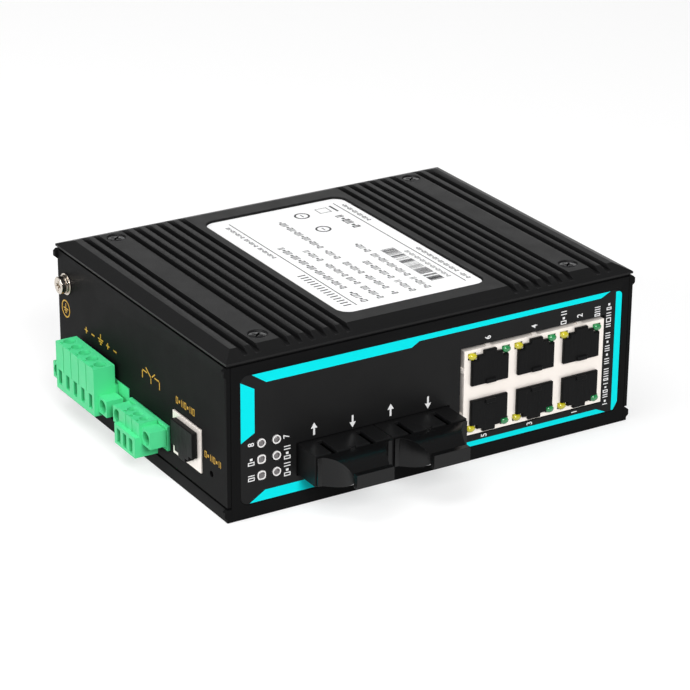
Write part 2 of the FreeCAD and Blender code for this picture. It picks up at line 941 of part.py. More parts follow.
def board_posts():
    """Hexagonal posts welded on the tray's floor, each tapped for a board screw."""
    posts = []
    for x, y in post_places():
        outside = hexagon("z", (x, y), (D.tray_floor, BOARD_LOW), D.post_flats)
        bore = rod("z", (x, y), (BOARD_LOW - D.post_screw_long, BOARD_LOW), D.screw_shank)
        posts.append(cut(outside, bore))
    group("board_posts", posts)


def board_screws():
    screws = []
    for x, y in post_places():
        head = rod("z", (x, y), (D.board_top, D.board_top + D.post_screw_tall), D.post_screw_head)
        shank = rod("z", (x, y), (BOARD_LOW - D.post_screw_long, D.board_top),
                    D.screw_shank - D.screw_slack / 2)
        screws.append(fuse(head, shank))
    group("board_screws", screws)


# ---------------------------------------------------------------- sockets with a latch step

def latch_outline(middle, base, way, wide, tall, steps):
    """A jack's outline: a wide mouth with a latch step and a narrower key step beyond it.
    The base is the contact edge, way is 1 with the latch above it and -1 below."""
    halves = [wide / 2] + [step[0] / 2 for step in steps]
    levels = [base, base + way * tall]
    for step in steps:
        levels.append(levels[-1] + way * step[1])
    right = []
    for index, half in enumerate(halves):
        right.append((middle + half, levels[index]))
        right.append((middle + half, levels[index + 1]))
    left = [(middle + middle - x, z) for x, z in reversed(right)]
    return path(right + left)


def latch_steps(rim=0.0):
    """The latch and key steps, wider all round by a rim."""
    return [(D.latch_wide + 2 * rim, D.latch_tall), (D.key_wide + 2 * rim, D.key_tall)]


def ports():
    """Number, middle, middle line of the block and latch way of the six ports."""
    middle_line = D.board_top + D.ports_tall / 2
    places = []
    for order, column in enumerate(PORT_COLUMNS):
        x = PORTS_MIDDLE + column * D.ports_pitch
        for row, way in enumerate((-1, 1)):
            places.append((1 + 2 * order + row, x, middle_line, way))
    return places


PORTS_FACE = FRONT - D.ports_proud


def socket_outline(x, line, way, rim=0.0):
    return latch_outline(x, line + way * (D.socket_row - rim), way, D.socket_wide + 2 * rim,
                         D.socket_tall + 2 * rim, latch_steps(rim))


def socket_outlines():
    return [socket_outline(x, line, way) for _, x, line, way in ports()]


def light_boxes(side):
    """Spans across and up of the port lights on one side of their sockets."""
    boxes = []
    for _, x, line, way in ports():
        across = sorted((x + side * D.light_near, x + side * D.light_far),
                        key=lambda size: size.value)
        span = sorted((line + way * D.light_base, line + way * (D.light_base + D.light_tall)),
                      key=lambda size: size.value)
        boxes.append((across, span))
    return boxes


def light_windows():
    return [rect(*across, *span) for side in (-1, 1) for across, span in light_boxes(side)]


def port_block_shield():
    """The pressed shell of the port block, open below, with windows and spring fingers."""
    body = Body("port_block_shield")
    x = PORTS_MIDDLE
    half = PORTS_HALF
    top = D.board_top + D.ports_tall
    back = PORTS_FACE + D.ports_long
    wall = D.shield
    body.pad("xz", (PORTS_FACE, back), rect(x - half, x + half, D.board_top, top))
    body.pocket("xy", (D.board_top, top - wall),
                rect(x - half + wall, x + half - wall, PORTS_FACE + wall, back - wall))
    body.pocket("xz", (PORTS_FACE, PORTS_FACE + wall), *socket_outlines(), *light_windows())
    line = D.board_top + D.ports_tall / 2
    for side in (-1, 1):
        face = x + side * half
        finger = finger_outline(face, side)
        for way in (-1, 1):
            middle = line + way * D.finger_rise
            body.pad("xy", (middle - D.finger_wide / 2, middle + D.finger_wide / 2), finger)
    for column in PORT_COLUMNS:
        middle = x + column * D.ports_pitch
        body.pad("yz", (middle - D.finger_wide / 2, middle + D.finger_wide / 2),
                 top_finger_outline(top))


def finger_outline(face, side):
    """A leaf that leaves the wall near the front, bulges outward and comes back behind."""
    return path([(face, PORTS_FACE), (face + side * D.finger_proud, PORTS_FACE + D.finger_apex),
                 (face, PORTS_FACE + D.finger_long)])


def top_finger_outline(top):
    return path([(PORTS_FACE, top), (PORTS_FACE + D.finger_apex, top + D.finger_proud),
                 (PORTS_FACE + D.finger_long, top)])


def port_block_body():
    """The moulded insert with six cavities and the channels of the light guides."""
    body = Body("port_block_body")
    x = PORTS_MIDDLE
    half = PORTS_HALF - D.shield
    face = PORTS_FACE + D.shield
    back = PORTS_FACE + D.ports_long - D.shield
    body.pad("xz", (face, back),
             rect(x - half, x + half, D.board_top, D.board_top + D.ports_tall - D.shield))
    body.pocket("xz", (face, face + D.socket_deep), *socket_outlines())
    body.pocket("xz", (face, face + D.light_deep), *light_windows())


def port_contacts():
    """Eight spring contacts on the floor of each cavity, opposite the latch."""
    contacts = []
    for _, x, line, way in ports():
        floor = line + way * D.socket_row
        span = sorted((floor, floor + way * D.contact_wide), key=lambda size: size.value)
        back = PORTS_FACE + D.shield + D.socket_deep
        for way_number in range(WAYS):
            middle = x + D.contact_pitch * (way_number - (WAYS - 1) / 2)
            contacts.append(block((middle - D.contact_wide / 2, middle + D.contact_wide / 2),
                                  (back - D.contact_long, back), span))
    group("port_contacts", contacts)


def port_lights(label, side):
    lights = []
    for across, span in light_boxes(side):
        lights.append(block(across, (PORTS_FACE - D.light_proud, PORTS_FACE + D.light_deep), span))
    group(label, lights)


def port_dust_plug(number, x, line, way):
    """A blanking plug: a stepped, bevelled rim on the shell's face and a shank in the cavity."""
    body = Body("port_%d_dust_plug" % number)
    rim = D.plug_rim
    fit = D.plug_fit
    face = PORTS_FACE - D.plug_proud
    body.pad("xz", (face, PORTS_FACE), socket_outline(x, line, way, rim))
    body.dress("Chamfer", D.plug_edge, lambda edge: lies_on(edge, "y", face))
    low = line + way * (D.socket_row + D.plug_lift)
    high = line + way * (D.socket_row + D.socket_tall - fit)
    half = D.socket_wide / 2 - fit
    outline = rect(x - half, x + half, low, high) if way > 0 else rect(x - half, x + half, high, low)
    body.pad("xz", (PORTS_FACE, PORTS_FACE + D.plug_long), outline)
    edge = line + way * (D.socket_row - rim + D.plug_edge)
    tip = edge + way * D.nub_tall
    nub = sorted((edge, tip), key=lambda size: size.value)
    body.pad("xz", (face - D.nub_proud, face),
             rect(x - D.nub_wide / 2, x + D.nub_wide / 2, nub[0], nub[1]))


# ---------------------------------------------------------------- fibre transceivers

FIBRE_LOW = D.board_top + D.fibre_lift
FIBRE_FACE = FRONT - D.fibre_proud
FIBRE_LINE = FIBRE_LOW + D.fibre_tall / 2


def fibre_middle(number):
    return FIBRE_MIDDLE + D.fibre_pitch * (number - 1.5)


def bore_middles(number):
    return [fibre_middle(number) + D.bore_pitch * hand / 2 for hand in (-1, 1)]


def fibre_transceiver(number):
    """A duplex module on the board: two square bores, each with a key slot above."""
    body = Body("fibre_transceiver_%d" % number)
    x = fibre_middle(number)
    half = D.fibre_wide / 2
    top = FIBRE_LOW + D.fibre_tall
    back = FIBRE_FACE + D.fibre_long
    body.pad("xz", (FIBRE_FACE, back), rect(x - half, x + half, FIBRE_LOW, top))
    body.pad("xy", (D.board_top, FIBRE_LOW),
             rect(x - half, x + half, PANEL_BACK + 2 * D.board_gap, back))
    bores = [rect(middle - D.bore_wide / 2, middle + D.bore_wide / 2,
                  FIBRE_LINE - D.bore_tall / 2, FIBRE_LINE + D.bore_tall / 2)
             for middle in bore_middles(number)]
    body.pocket("xz", (FIBRE_FACE, FIBRE_FACE + D.bore_deep), *bores)
    slots = [rect(middle - D.slot_wide / 2, middle + D.slot_wide / 2,
                  FIBRE_FACE, FIBRE_FACE + D.slot_long) for middle in bore_middles(number)]
    body.pocket("xy", (FIBRE_LINE, top), *slots)
    body.pocket("xy", (top - D.notch_deep, top),
                rect(x - D.notch_wide / 2, x + D.notch_wide / 2,
                     FIBRE_FACE, FIBRE_FACE + D.notch_long))


def fibre_sleeves(number):
    """The optical ferrule sleeves, standing on the floors of the two bores."""
    floor = FIBRE_FACE + D.bore_deep
    sleeves = []
    for x in bore_middles(number):
        span = (floor - D.sleeve_long, floor)
        sleeves.append(cut(rod("y", (x, FIBRE_LINE), span, D.sleeve),
                           rod("y", (x, FIBRE_LINE), span, D.sleeve_bore)))
    group("fibre_sleeves_%d" % number, sleeves)


def fibre_cap(number):
    """A soft duplex cap: its flange flares in hollow curves to a thin neck and a grip bar."""
    body = Body("fibre_cap_%d" % number)
    x = fibre_middle(number)
    base = FIBRE_FACE - D.cap_flange
    tip = FRONT - D.fibre_proud - D.cap_grip
    bar = tip + D.bar_thick
    half = D.fibre_wide / 2 - D.cap_inset
    tall = D.fibre_tall / 2 - D.cap_inset
    body.pad("xy", (FIBRE_LINE - tall, FIBRE_LINE + tall), path([
        (x - half, FIBRE_FACE), (x - half, base), (x - D.cap_flare, base, -D.cap_side_radius),
        (x - D.bar_wide / 2, bar), (x - D.bar_wide / 2, tip), (x + D.bar_wide / 2, tip),
        (x + D.bar_wide / 2, bar, -D.cap_side_radius), (x + D.cap_flare, base),
        (x + half, base), (x + half, FIBRE_FACE)]))
    for way in (-1, 1):
        edge = FIBRE_LINE + way * (tall + 1)
        body.pocket("yz", (x - half, x + half), path([
            (base, edge), (base, FIBRE_LINE + way * tall, way * D.cap_scoop_radius),
            (bar, FIBRE_LINE + way * D.neck_tall / 2), (bar, FIBRE_LINE + way * D.bar_tall / 2),
            (tip, FIBRE_LINE + way * D.bar_tall / 2), (tip, edge)]))
    prongs = [circle(middle, FIBRE_LINE, D.prong) for middle in bore_middles(number)]
    body.pad("xz", (FIBRE_FACE, FIBRE_FACE + D.prong_long), *prongs)
    body.pocket("xz", (FIBRE_FACE, FIBRE_FACE + D.prong_long),
                *[circle(middle, FIBRE_LINE, D.prong_bore) for middle in bore_middles(number)])


# ---------------------------------------------------------------- plug-in screw terminals

def of_kind(kind, name):
    return getattr(D, "%s_%s" % (kind, name))


def row_middle(kind):
    """The supply row has a place of its own; the relay row lies beside it, in front."""
    middle = FRONT + D.power_mid
    if kind == "alarm":
        middle -= header_half("power") + D.terminal_apart + header_half("alarm")
    return middle


def poles(kind):
    middle = row_middle(kind)
    return [middle + of_kind(kind, "pitch") * (index - (POLES[kind] - 1) / 2)
            for index in range(POLES[kind])]


def row_half(kind):
    """Half the length of the plug's body along the row of poles."""
    return of_kind(kind, "pitch") * POLES[kind] / 2 + of_kind(kind, "rim")


def ear_middles(kind):
    middle = row_middle(kind)
    reach = row_half(kind) + of_kind(kind, "flange") / 2
    return [middle - reach, middle + reach]


def header_half(kind):
    return row_half(kind) + of_kind(kind, "flange") + of_kind(kind, "header_ear")


def header_face(kind):
    return LEFT - of_kind(kind, "header_out")


def header_back(kind):
    return header_face(kind) + D.header_long


def tail_place():
    """Where the pins turn down through the board."""
    return LEFT + D.header_long + D.pin_tail


def mouth(kind, inset=0.0):
    """The opening of a header that the plug's tongue fills."""
    middle = row_middle(kind)
    half = row_half(kind) - inset
    return rect(middle - half, middle + half, D.board_top + D.header_wall + inset,
                of_kind(kind, "header_top") - D.header_wall - inset)


def header_cutout(kind):
    middle = row_middle(kind)
    half = header_half(kind) + D.cutout_play
    return rect(middle - half, middle + half, D.board_top - D.cutout_play,
                of_kind(kind, "header_top") + D.cutout_play)


def pin_line(kind):
    return D.board_top + D.pin_rise


def header(kind):
    """The board-mounted half: a box open towards the wall, with threaded ears at both ends."""
    body = Body("%s_header" % kind)
    middle = row_middle(kind)
    half = header_half(kind)
    face = header_face(kind)
    back = header_back(kind)
    body.pad("yz", (face, back),
             rect(middle - half, middle + half, D.board_top, of_kind(kind, "header_top")))
    body.pocket("yz", (face, back - D.header_floor), mouth(kind, -D.pole_slack))
    line = pin_line(kind)
    body.pocket("yz", (back - D.header_floor, back),
                *[rect(y - D.pin, y + D.pin, line - D.pin, line + D.pin) for y in poles(kind)])
    ear_line = (of_kind(kind, "ear_low") + of_kind(kind, "ear_high")) / 2
    body.pocket("yz", (face, face + D.header_long - D.header_floor),
                *[circle(y, ear_line, D.ear_hole) for y in ear_middles(kind)])


def pins(kind):
    """Square pins: through the header's floor, then down through the board."""
    line = pin_line(kind)
    start = header_back(kind) - D.header_floor - D.pin_reach
    turn = tail_place()
    low = D.board_top - D.pin_below
    items = []
    for y in poles(kind):
        level = block((start, turn + D.pin), (y - D.pin, y + D.pin), (line - D.pin, line + D.pin))
        tail = block((turn - D.pin, turn + D.pin), (y - D.pin, y + D.pin), (low, line - D.pin))
        items.append(fuse(level, tail))
    group("%s_pins" % kind, items)


def plug(kind):
    """The wire-side half: wells for the clamp screws above, a door for each wire in the face."""
    body = Body("%s_plug" % kind)
    middle = row_middle(kind)
    half = row_half(kind)
    out = LEFT - of_kind(kind, "out")
    low_out = LEFT - of_kind(kind, "low_out")
    near = LEFT - D.plug_clear
    foot = of_kind(kind, "foot")
    top = of_kind(kind, "top")
    body.pad("xz", (middle - half, middle + half), rect(out, near, foot, top))
    if low_out.value < out.value:
        body.pad("xz", (middle - half, middle + half),
                 rect(low_out, out, foot, of_kind(kind, "step")))
    body.pad("yz", (near, LEFT + D.plug_reach), mouth(kind, D.pole_slack))
    ear_out = LEFT - of_kind(kind, "ear_out")
    ear_low = of_kind(kind, "ear_low")
    ear_high = of_kind(kind, "ear_high")
    reach = half + of_kind(kind, "flange")
    body.pad("yz", (ear_out, near), rect(middle - reach, middle - half, ear_low, ear_high),
             rect(middle + half, middle + reach, ear_low, ear_high))
    ear_line = (ear_low + ear_high) / 2
    holes = [circle(y, ear_line, D.ear_hole + D.clamp_head_slack) for y in ear_middles(kind)]
    heads = [circle(y, ear_line, D.ear_head + D.clamp_head_slack) for y in ear_middles(kind)]
    body.pocket("yz", (near - D.ear_head_deep, near), *holes)
    body.pocket("yz", (ear_out, near - D.ear_head_deep), *heads)
    well = LEFT - of_kind(kind, "well_out")
    floor = top - of_kind(kind, "well_deep")
    body.pocket("xy", (floor, top), *[circle(well, y, of_kind(kind, "well")) for y in poles(kind)])
    door_low = of_kind(kind, "door_low")
    door_high = of_kind(kind, "door_high")
    play = D.clamp_shank + D.clamp_head_slack
    body.pocket("xy", (door_high, floor),
                *[rect(well - play, well + play, y - play, y + play) for y in poles(kind)])
    divides = [y + of_kind(kind, "pitch") / 2 for y in poles(kind)[:-1]]
    body.pocket("yz", (out, out + D.divide_deep),
                *[rect(y - D.divide_wide / 2, y + D.divide_wide / 2,
                       of_kind(kind, "step"), top) for y in divides])
    door_half = of_kind(kind, "door_wide") / 2
    doors = [rect(y - door_half, y + door_half, door_low, door_high) for y in poles(kind)]
    body.pocket("yz", (low_out, low_out + D.door_deep), *doors)
    probe = out + D.probe_edge
    body.pocket("xy", (top - D.probe_deep, top),
                *[rect(probe - D.probe_long / 2, probe + D.probe_long / 2,
                       y - D.probe_wide / 2, y + D.probe_wide / 2) for y in poles(kind)])
    line = pin_line(kind)
    start = header_back(kind) - D.header_floor - D.pin_reach
    body.pocket("yz", (start - D.pin_play, LEFT + D.plug_reach),
                *[rect(y - D.pin - D.pin_play, y + D.pin + D.pin_play,
                       line - D.pin - D.pin_play, line + D.pin + D.pin_play)
                  for y in poles(kind)])


def clamp_cages(kind):
    """A rising cage behind each wire door."""
    half = of_kind(kind, "door_wide") / 2
    low = of_kind(kind, "door_low")
    high = of_kind(kind, "door_high")
    front = LEFT - of_kind(kind, "low_out") + D.cage_set
    back = front + D.cage_long
    wall = D.cage_wall
    cages = []
    for y in poles(kind):
        outside = block((front, back), (y - half, y + half), (low, high))
        inside = block((front, back), (y - half + wall, y + half - wall), (low + wall, high - wall))
        cages.append(cut(outside, inside))
    group("%s_clamp_cages" % kind, cages)


def clamp_screws(kind):
    """Clamp screws at the foot of the wells."""
    well = LEFT - of_kind(kind, "well_out")
    floor = of_kind(kind, "top") - of_kind(kind, "well_deep")
    radius = of_kind(kind, "well") - 2 * D.clamp_head_slack
    screws = []
    for y in poles(kind):
        head = rod("z", (well, y), (floor, floor + D.clamp_head), radius)
        shank = rod("z", (well, y), (of_kind(kind, "door_high"), floor), D.clamp_shank)
        screws.append(fuse(head, shank))
    group("%s_clamp_screws" % kind, screws)


def flange_screws(kind):
    """The two long screws that hold the plug on its header."""
    line = (of_kind(kind, "ear_low") + of_kind(kind, "ear_high")) / 2
    near = LEFT - D.plug_clear
    seat = near - D.ear_head_deep
    screws = []
    for y in ear_middles(kind):
        head = rod("x", (y, line), (seat - D.ear_head_deep, seat), D.ear_head)
        shank = rod("x", (y, line), (seat, seat + D.ear_screw_long - D.ear_head_deep),
                    D.ear_hole - D.screw_slack)
        screws.append(fuse(head, shank))
    group("%s_flange_screws" % kind, screws)


# ---------------------------------------------------------------- console jack

JACK_MIDDLE = FRONT + D.jack_mid
JACK_LOW = D.board_top + D.jack_lift
JACK_FACE = LEFT - D.jack_proud
JACK_TOP = JACK_LOW + D.jack_tall


def jack_cutout():
    half = D.jack_wide / 2 + D.cutout_play
    return rect(JACK_MIDDLE - half, JACK_MIDDLE + half,
                JACK_LOW - D.cutout_play, JACK_TOP + D.cutout_play)


def jack_mouth(rim=0.0):
    """The latch side faces down, so the contacts lie along the upper edge."""
    return latch_outline(JACK_MIDDLE, JACK_TOP - D.jack_row + rim, -1,
                         D.socket_wide + 2 * rim, D.socket_tall + 2 * rim, latch_steps(rim))


def console_jack_shield():
    body = Body("console_jack_shield")
    half = D.jack_wide / 2
    wall = D.shield
    body.pad("yz", (JACK_FACE, JACK_FACE + D.jack_long),
             rect(JACK_MIDDLE - half, JACK_MIDDLE + half, JACK_LOW, JACK_TOP))
    body.pocket("xy", (JACK_LOW, JACK_TOP - wall),
                rect(JACK_FACE + wall, JACK_FACE + D.jack_long - wall,
                     JACK_MIDDLE - half + wall, JACK_MIDDLE + half - wall))
    body.pocket("yz", (JACK_FACE, JACK_FACE + wall), jack_mouth())


def console_jack_body():
    body = Body("console_jack_body")
    half = D.jack_wide / 2 - D.shield
    face = JACK_FACE + D.shield
    back = JACK_FACE + D.jack_long - D.shield
    body.pad("yz", (face, back),
             rect(JACK_MIDDLE - half, JACK_MIDDLE + half, JACK_LOW, JACK_TOP - D.shield))
    body.pad("xy", (D.board_top, JACK_LOW),
             rect(INNER_LEFT + D.board_gap, back, JACK_MIDDLE - half, JACK_MIDDLE + half))
    body.pocket("yz", (face, face + D.socket_deep), jack_mouth())


def console_contacts():
    ceiling = JACK_TOP - D.jack_row
    back = JACK_FACE + D.shield + D.socket_deep
    contacts = []
    for number in range(WAYS):
        y = JACK_MIDDLE + D.contact_pitch * (number - (WAYS - 1) / 2)
        contacts.append(block((back - D.contact_long, back),
                              (y - D.contact_wide / 2, y + D.contact_wide / 2),
                              (ceiling - D.contact_wide, ceiling)))
    group("console_contacts", contacts)


def console_dust_plug():
    body = Body("console_dust_plug")
    fit = D.plug_fit
    body.pad("yz", (JACK_FACE - D.jack_plug_proud, JACK_FACE), jack_mouth(D.plug_rim))
    half = D.socket_wide / 2 - fit
    ceiling = JACK_TOP - D.jack_row - D.plug_lift
    body.pad("yz", (JACK_FACE, JACK_FACE + D.plug_long),
             rect(JACK_MIDDLE - half, JACK_MIDDLE + half,
                  JACK_TOP - D.jack_row - D.socket_tall + fit, ceiling))


# ---------------------------------------------------------------- restart switch

RELOAD_Y = FRONT + D.reload_place
TACT_FACE = INNER_LEFT + D.tact_gap
PLUNGER_TIP = INNER_LEFT + D.plunger_gap


def reload_switch_body():
    """A right-angle tactile switch; its plunger's bore faces the pinhole."""
    body = Body("reload_switch_body")
    half = D.tact_wide / 2
    body.pad("yz", (TACT_FACE, TACT_FACE + D.tact_long),
             rect(RELOAD_Y - half, RELOAD_Y + half, D.board_top, D.board_top + D.tact_tall))
    body.pocket("yz", (TACT_FACE, TACT_FACE + D.plunger_deep),
                circle(RELOAD_Y, D.reload_rise, D.plunger_bore))


def reload_button():
    end = TACT_FACE + D.plunger_deep - D.plunger_end
    rod_part = rod("x", (RELOAD_Y, D.reload_rise), (PLUNGER_TIP, end), D.plunger)
    piece("reload_button", rod_part)


# ---------------------------------------------------------------- status lights

def status_light_holders():
    """One black holder for each column of lights, standing on the board behind the panel."""
    holders = []
    top = D.lights_low + D.lights_pitch * (STATUS_ROWS - 1) + D.holder_top
    front = PANEL_BACK + D.panel_gap
    for x in light_columns():
        holders.append(block((x - D.holder_wide / 2, x + D.holder_wide / 2),
                             (front, front + D.holder_deep), (D.board_top, top)))
    group("status_light_holders", holders)


def status_light_lenses():
    back = PANEL_BACK + D.panel_gap
    group("status_light_lenses",
          [rod("y", (x, z), (FRONT, back), D.light_radius) for x, z in light_places()])


# ---------------------------------------------------------------- parts on the board

def stood(x, y, wide, long, tall):
    """A closed case on the board."""
    return block((x - wide / 2, x + wide / 2), (y - long / 2, y + long / 2),
                 (D.board_top, D.board_top + tall))


def board_parts():
    piece("switch_chip", stood(LEFT + D.chip_place, REAR - D.chip_back,
                               D.chip_side, D.chip_side, D.chip_tall))
    piece("power_converter", stood(LEFT + D.converter_place, REAR - D.converter_back,
                                   D.converter_wide, D.converter_long, D.converter_tall))
    piece("alarm_relay", stood(LEFT + D.relay_place, FRONT + D.relay_front,
                               D.relay_wide, D.relay_long, D.relay_tall))
    cans = [(RIGHT - D.can_place - step * D.can_pitch, REAR - D.can_back) for step in (0, 1)]
    group("board_capacitors", [rod("z", spot, (D.board_top, D.board_top + D.can_tall),
                                   D.can_radius) for spot in cans])
    row = PORTS_FACE + D.ports_long + D.magnetics_gap + D.magnetics_long / 2
    group("isolation_transformers", [
        stood(PORTS_MIDDLE + column * D.ports_pitch, row, D.magnetics_wide,
              D.magnetics_long, D.magnetics_tall) for column in PORT_COLUMNS])


# ---------------------------------------------------------------- ground screw

GROUND = (FRONT + D.ground_place, D.height - D.ground_drop)


def ground_set():
    """A pan-head screw with a flat and a split washer on the wall and a clinch nut inside."""
    flat = LEFT - D.ground_flat_thick
    split = flat - D.ground_split_thick
    head = split - D.ground_head_tall
    inside = INNER_LEFT + D.ground_nut_tall
    hole = D.ground_shank + D.ground_play
    piece("ground_flat_washer", cut(rod("x", GROUND, (flat, LEFT), D.ground_flat),
                                    rod("x", GROUND, (flat, LEFT), hole)))
    slit = block((split, flat), (GROUND[0], GROUND[0] + D.ground_flat),
                 (GROUND[1] - D.ground_split_gap / 2, GROUND[1] + D.ground_split_gap / 2))
    piece("ground_spring_washer", cut(rod("x", GROUND, (split, flat), D.ground_split),
                                      rod("x", GROUND, (split, flat), hole), slit))
    piece("ground_clinch_nut", cut(rod("x", GROUND, (INNER_LEFT, inside), D.ground_nut),
                                   rod("x", GROUND, (INNER_LEFT, inside), D.ground_shank)))
    y, z = GROUND
    cross = [block((head, head + D.recess_deep), (y - across, y + across), (z - up, z + up))
             for across, up in ((D.recess_arm, D.recess_reach), (D.recess_reach, D.recess_arm))]
    whole = fuse(rod("x", GROUND, (head, split), D.ground_head),
                 rod("x", GROUND, (split, inside + D.ground_end), D.ground_shank))
    piece("ground_screw", cut(whole, *cross))


# ---------------------------------------------------------------- rail hook

RAIL_LINE = D.height / 2
HOOK_FACE = REAR + D.hook_base
RAIL_LEFT = -D.rail_wide / 2
RAIL_RIGHT = D.rail_wide / 2
LIP_LOW = HOOK_FACE + D.rail_sheet
HOOK_TOP = LIP_LOW + D.hook_lip
HOOK_LEFT = RAIL_LEFT - D.hook_spring_room
HOOK_RIGHT = RAIL_RIGHT + D.rail_play


def hook_span():
    return (D.hook_end, D.height - D.hook_end)


def rail_screws():
    """Two screws on the plate's middle line, one near each end."""
    low, high = hook_span()
    return [(Size.of(0), z) for z in (low + D.hook_screw_inset, high - D.hook_screw_inset)]


def rail_plate():
    """The rail plate: two lips reach over the rail's edges, with room for the spring in one."""
    body = Body("rail_plate")
    low, high = hook_span()
    left = HOOK_LEFT - D.hook_wall
    right = HOOK_RIGHT + D.hook_wall
    body.pad("xy", (low, high), path([
        (left, REAR), (right, REAR), (right, HOOK_TOP),
        (RAIL_RIGHT - D.hook_over, HOOK_TOP), (RAIL_RIGHT - D.hook_over, LIP_LOW),
        (HOOK_RIGHT, LIP_LOW), (HOOK_RIGHT, HOOK_FACE), (HOOK_LEFT, HOOK_FACE),
        (HOOK_LEFT, LIP_LOW), (RAIL_LEFT + D.hook_over, LIP_LOW),
        (RAIL_LEFT + D.hook_over, HOOK_TOP), (left, HOOK_TOP)]))
    sink = HOOK_FACE - D.hook_screw_sink
    body.pocket("xz", (REAR, HOOK_FACE),
                *[circle(x, z, D.screw_shank + D.screw_slack) for x, z in rail_screws()])
    sunk = [cone("y", place, (sink, HOOK_FACE), D.screw_shank + D.screw_slack,
                 D.hook_screw_head + D.screw_slack) for place in rail_screws()]
    rename(body, cut(body.body, *sunk))


def rail_spring():
    """A bowed leaf in the deeper lip; it presses on the edge of the rail."""
    body = Body("rail_spring")
    half = D.spring_long / 2
    back = HOOK_LEFT + D.spring_side
    bow = D.hook_spring_room - D.spring_side - D.spring_sheet
    radius = (half * (half / bow) + bow) / 2
    body.pad("xz", (HOOK_FACE + D.spring_side, LIP_LOW - D.spring_side), path([
        (back, RAIL_LINE - half, radius), (back, RAIL_LINE + half),
        (back + D.spring_sheet, RAIL_LINE + half, -(radius)),
        (back + D.spring_sheet, RAIL_LINE - half)]))


def rail_plate_screws():
    screws = []
    sink = HOOK_FACE - D.hook_screw_sink
    for place in rail_screws():
        head = cone("y", place, (sink, HOOK_FACE), D.screw_shank, D.hook_screw_head)
        shank = rod("y", place, (HOOK_FACE - D.hook_screw_long, sink), D.screw_shank)
        screws.append(fuse(head, shank))
    group("rail_plate_screws", screws)


# ---------------------------------------------------------------- the whole switch

def build():
    top_cover()
    bottom_cover()
    chassis_frame()
    front_panel()
    front_overlay()
    rating_label()
    countersunk_screws("top_cover_screws", D.height, -1, D.screw_length)
    countersunk_screws("bottom_cover_screws", Size.of(0), 1, D.tray_screw_length)
    main_board()
    board_posts()
    board_screws()
    port_block_shield()
    port_block_body()
    port_contacts()
    port_lights("port_lights_yellow", -1)
    port_lights("port_lights_green", 1)
    for number, x, line, way in ports():
        port_dust_plug(number, x, line, way)
    for number in (1, 2):
        fibre_transceiver(number)
        fibre_sleeves(number)
        fibre_cap(number)
    for kind in POLES:
        header(kind)
        pins(kind)
        plug(kind)
        clamp_cages(kind)
        clamp_screws(kind)
        flange_screws(kind)
    console_jack_shield()
    console_jack_body()
    console_contacts()
    console_dust_plug()
    reload_switch_body()
    reload_button()
    status_light_holders()
    status_light_lenses()
    board_parts()
    ground_set()
    rail_plate()
    rail_spring()
    rail_plate_screws()


def check():
    """Stops before anything is written if an object failed or a shape is unsound."""
    for item in DOC.Objects:
        if "Invalid" in item.State or "Error" in item.State:
            raise ValueError("%s (%s) failed: %s" % (item.Label, item.Name, item.State))
    for item in PARTS:
        if item.Shape.isNull() or not item.Shape.isValid() or not item.Shape.Solids:
            raise ValueError("%s has no sound solid" % item.Label)


def write():
    os.makedirs("parts", exist_ok=True)
    for item in PARTS:
        item.Shape.exportStep(os.path.join("parts", item.Label + ".step"))
        box = item.Shape.BoundBox
        print("%-24s solids %2d  volume %9.1f  x %7.2f %7.2f  y %7.2f %7.2f  z %6.2f %6.2f" % (
            item.Label, len(item.Shape.Solids), item.Shape.Volume, box.XMin, box.XMax,
            box.YMin, box.YMax, box.ZMin, box.ZMax))


build()
DOC.recompute()
check()
write()
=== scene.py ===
import logging
import math
from dataclasses import dataclass, field
from enum import Enum
from typing import Iterable, Optional, Sequence, Union

import bmesh
import bpy
from mathutils import Matrix, Vector


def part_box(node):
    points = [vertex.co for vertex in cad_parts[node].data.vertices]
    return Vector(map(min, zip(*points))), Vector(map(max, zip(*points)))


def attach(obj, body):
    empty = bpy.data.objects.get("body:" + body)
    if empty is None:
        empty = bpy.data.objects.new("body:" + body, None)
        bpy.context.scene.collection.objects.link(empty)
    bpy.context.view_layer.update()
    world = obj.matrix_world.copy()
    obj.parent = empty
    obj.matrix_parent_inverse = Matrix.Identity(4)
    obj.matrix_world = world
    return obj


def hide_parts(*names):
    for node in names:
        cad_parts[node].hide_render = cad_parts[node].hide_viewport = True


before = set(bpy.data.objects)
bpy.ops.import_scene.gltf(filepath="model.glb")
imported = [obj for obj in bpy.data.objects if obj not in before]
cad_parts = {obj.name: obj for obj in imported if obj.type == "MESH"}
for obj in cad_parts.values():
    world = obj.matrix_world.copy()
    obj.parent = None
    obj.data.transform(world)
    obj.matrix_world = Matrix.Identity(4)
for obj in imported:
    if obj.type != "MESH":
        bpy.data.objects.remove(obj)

LOG = logging.getLogger("din_rail_switch")

MM = 0.001
SWITCH = "switch_body"
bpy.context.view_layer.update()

# Points nearer than this are one point, in metres: in a solid's mesh and in flat ink.
MERGE = 1e-7
INK_MERGE = 1e-6
INK_LIFT = 0.03 * MM

# Angles in degrees: facets that bend less are one face, and edges that bend less are shaded round.
ONE_FACE = 0.5
PATTERN_SMOOTH = 35.0
CARVED_SMOOTH = 30.0

# The octaves of the mottling, of the roughness's drift and of the bump, the span that a
# noise's values mostly lie in, the least roughness, and a Mix node's colour sockets.
CLOUD_DETAIL, PATCH_DETAIL, GRAIN_DETAIL = 3.0, 4.0, 2.0
NOISE_LOW, NOISE_HIGH = 0.3, 0.7
LEAST_ROUGHNESS = 0.02
MIX_FIRST, MIX_SECOND, MIX_RESULT = 6, 7, 2

Point = tuple[float, float]
Place = tuple[float, float, float]
Colour = tuple[float, float, float]
Box = tuple[Vector, Vector]
Term = Union[bpy.types.NodeSocket, float]


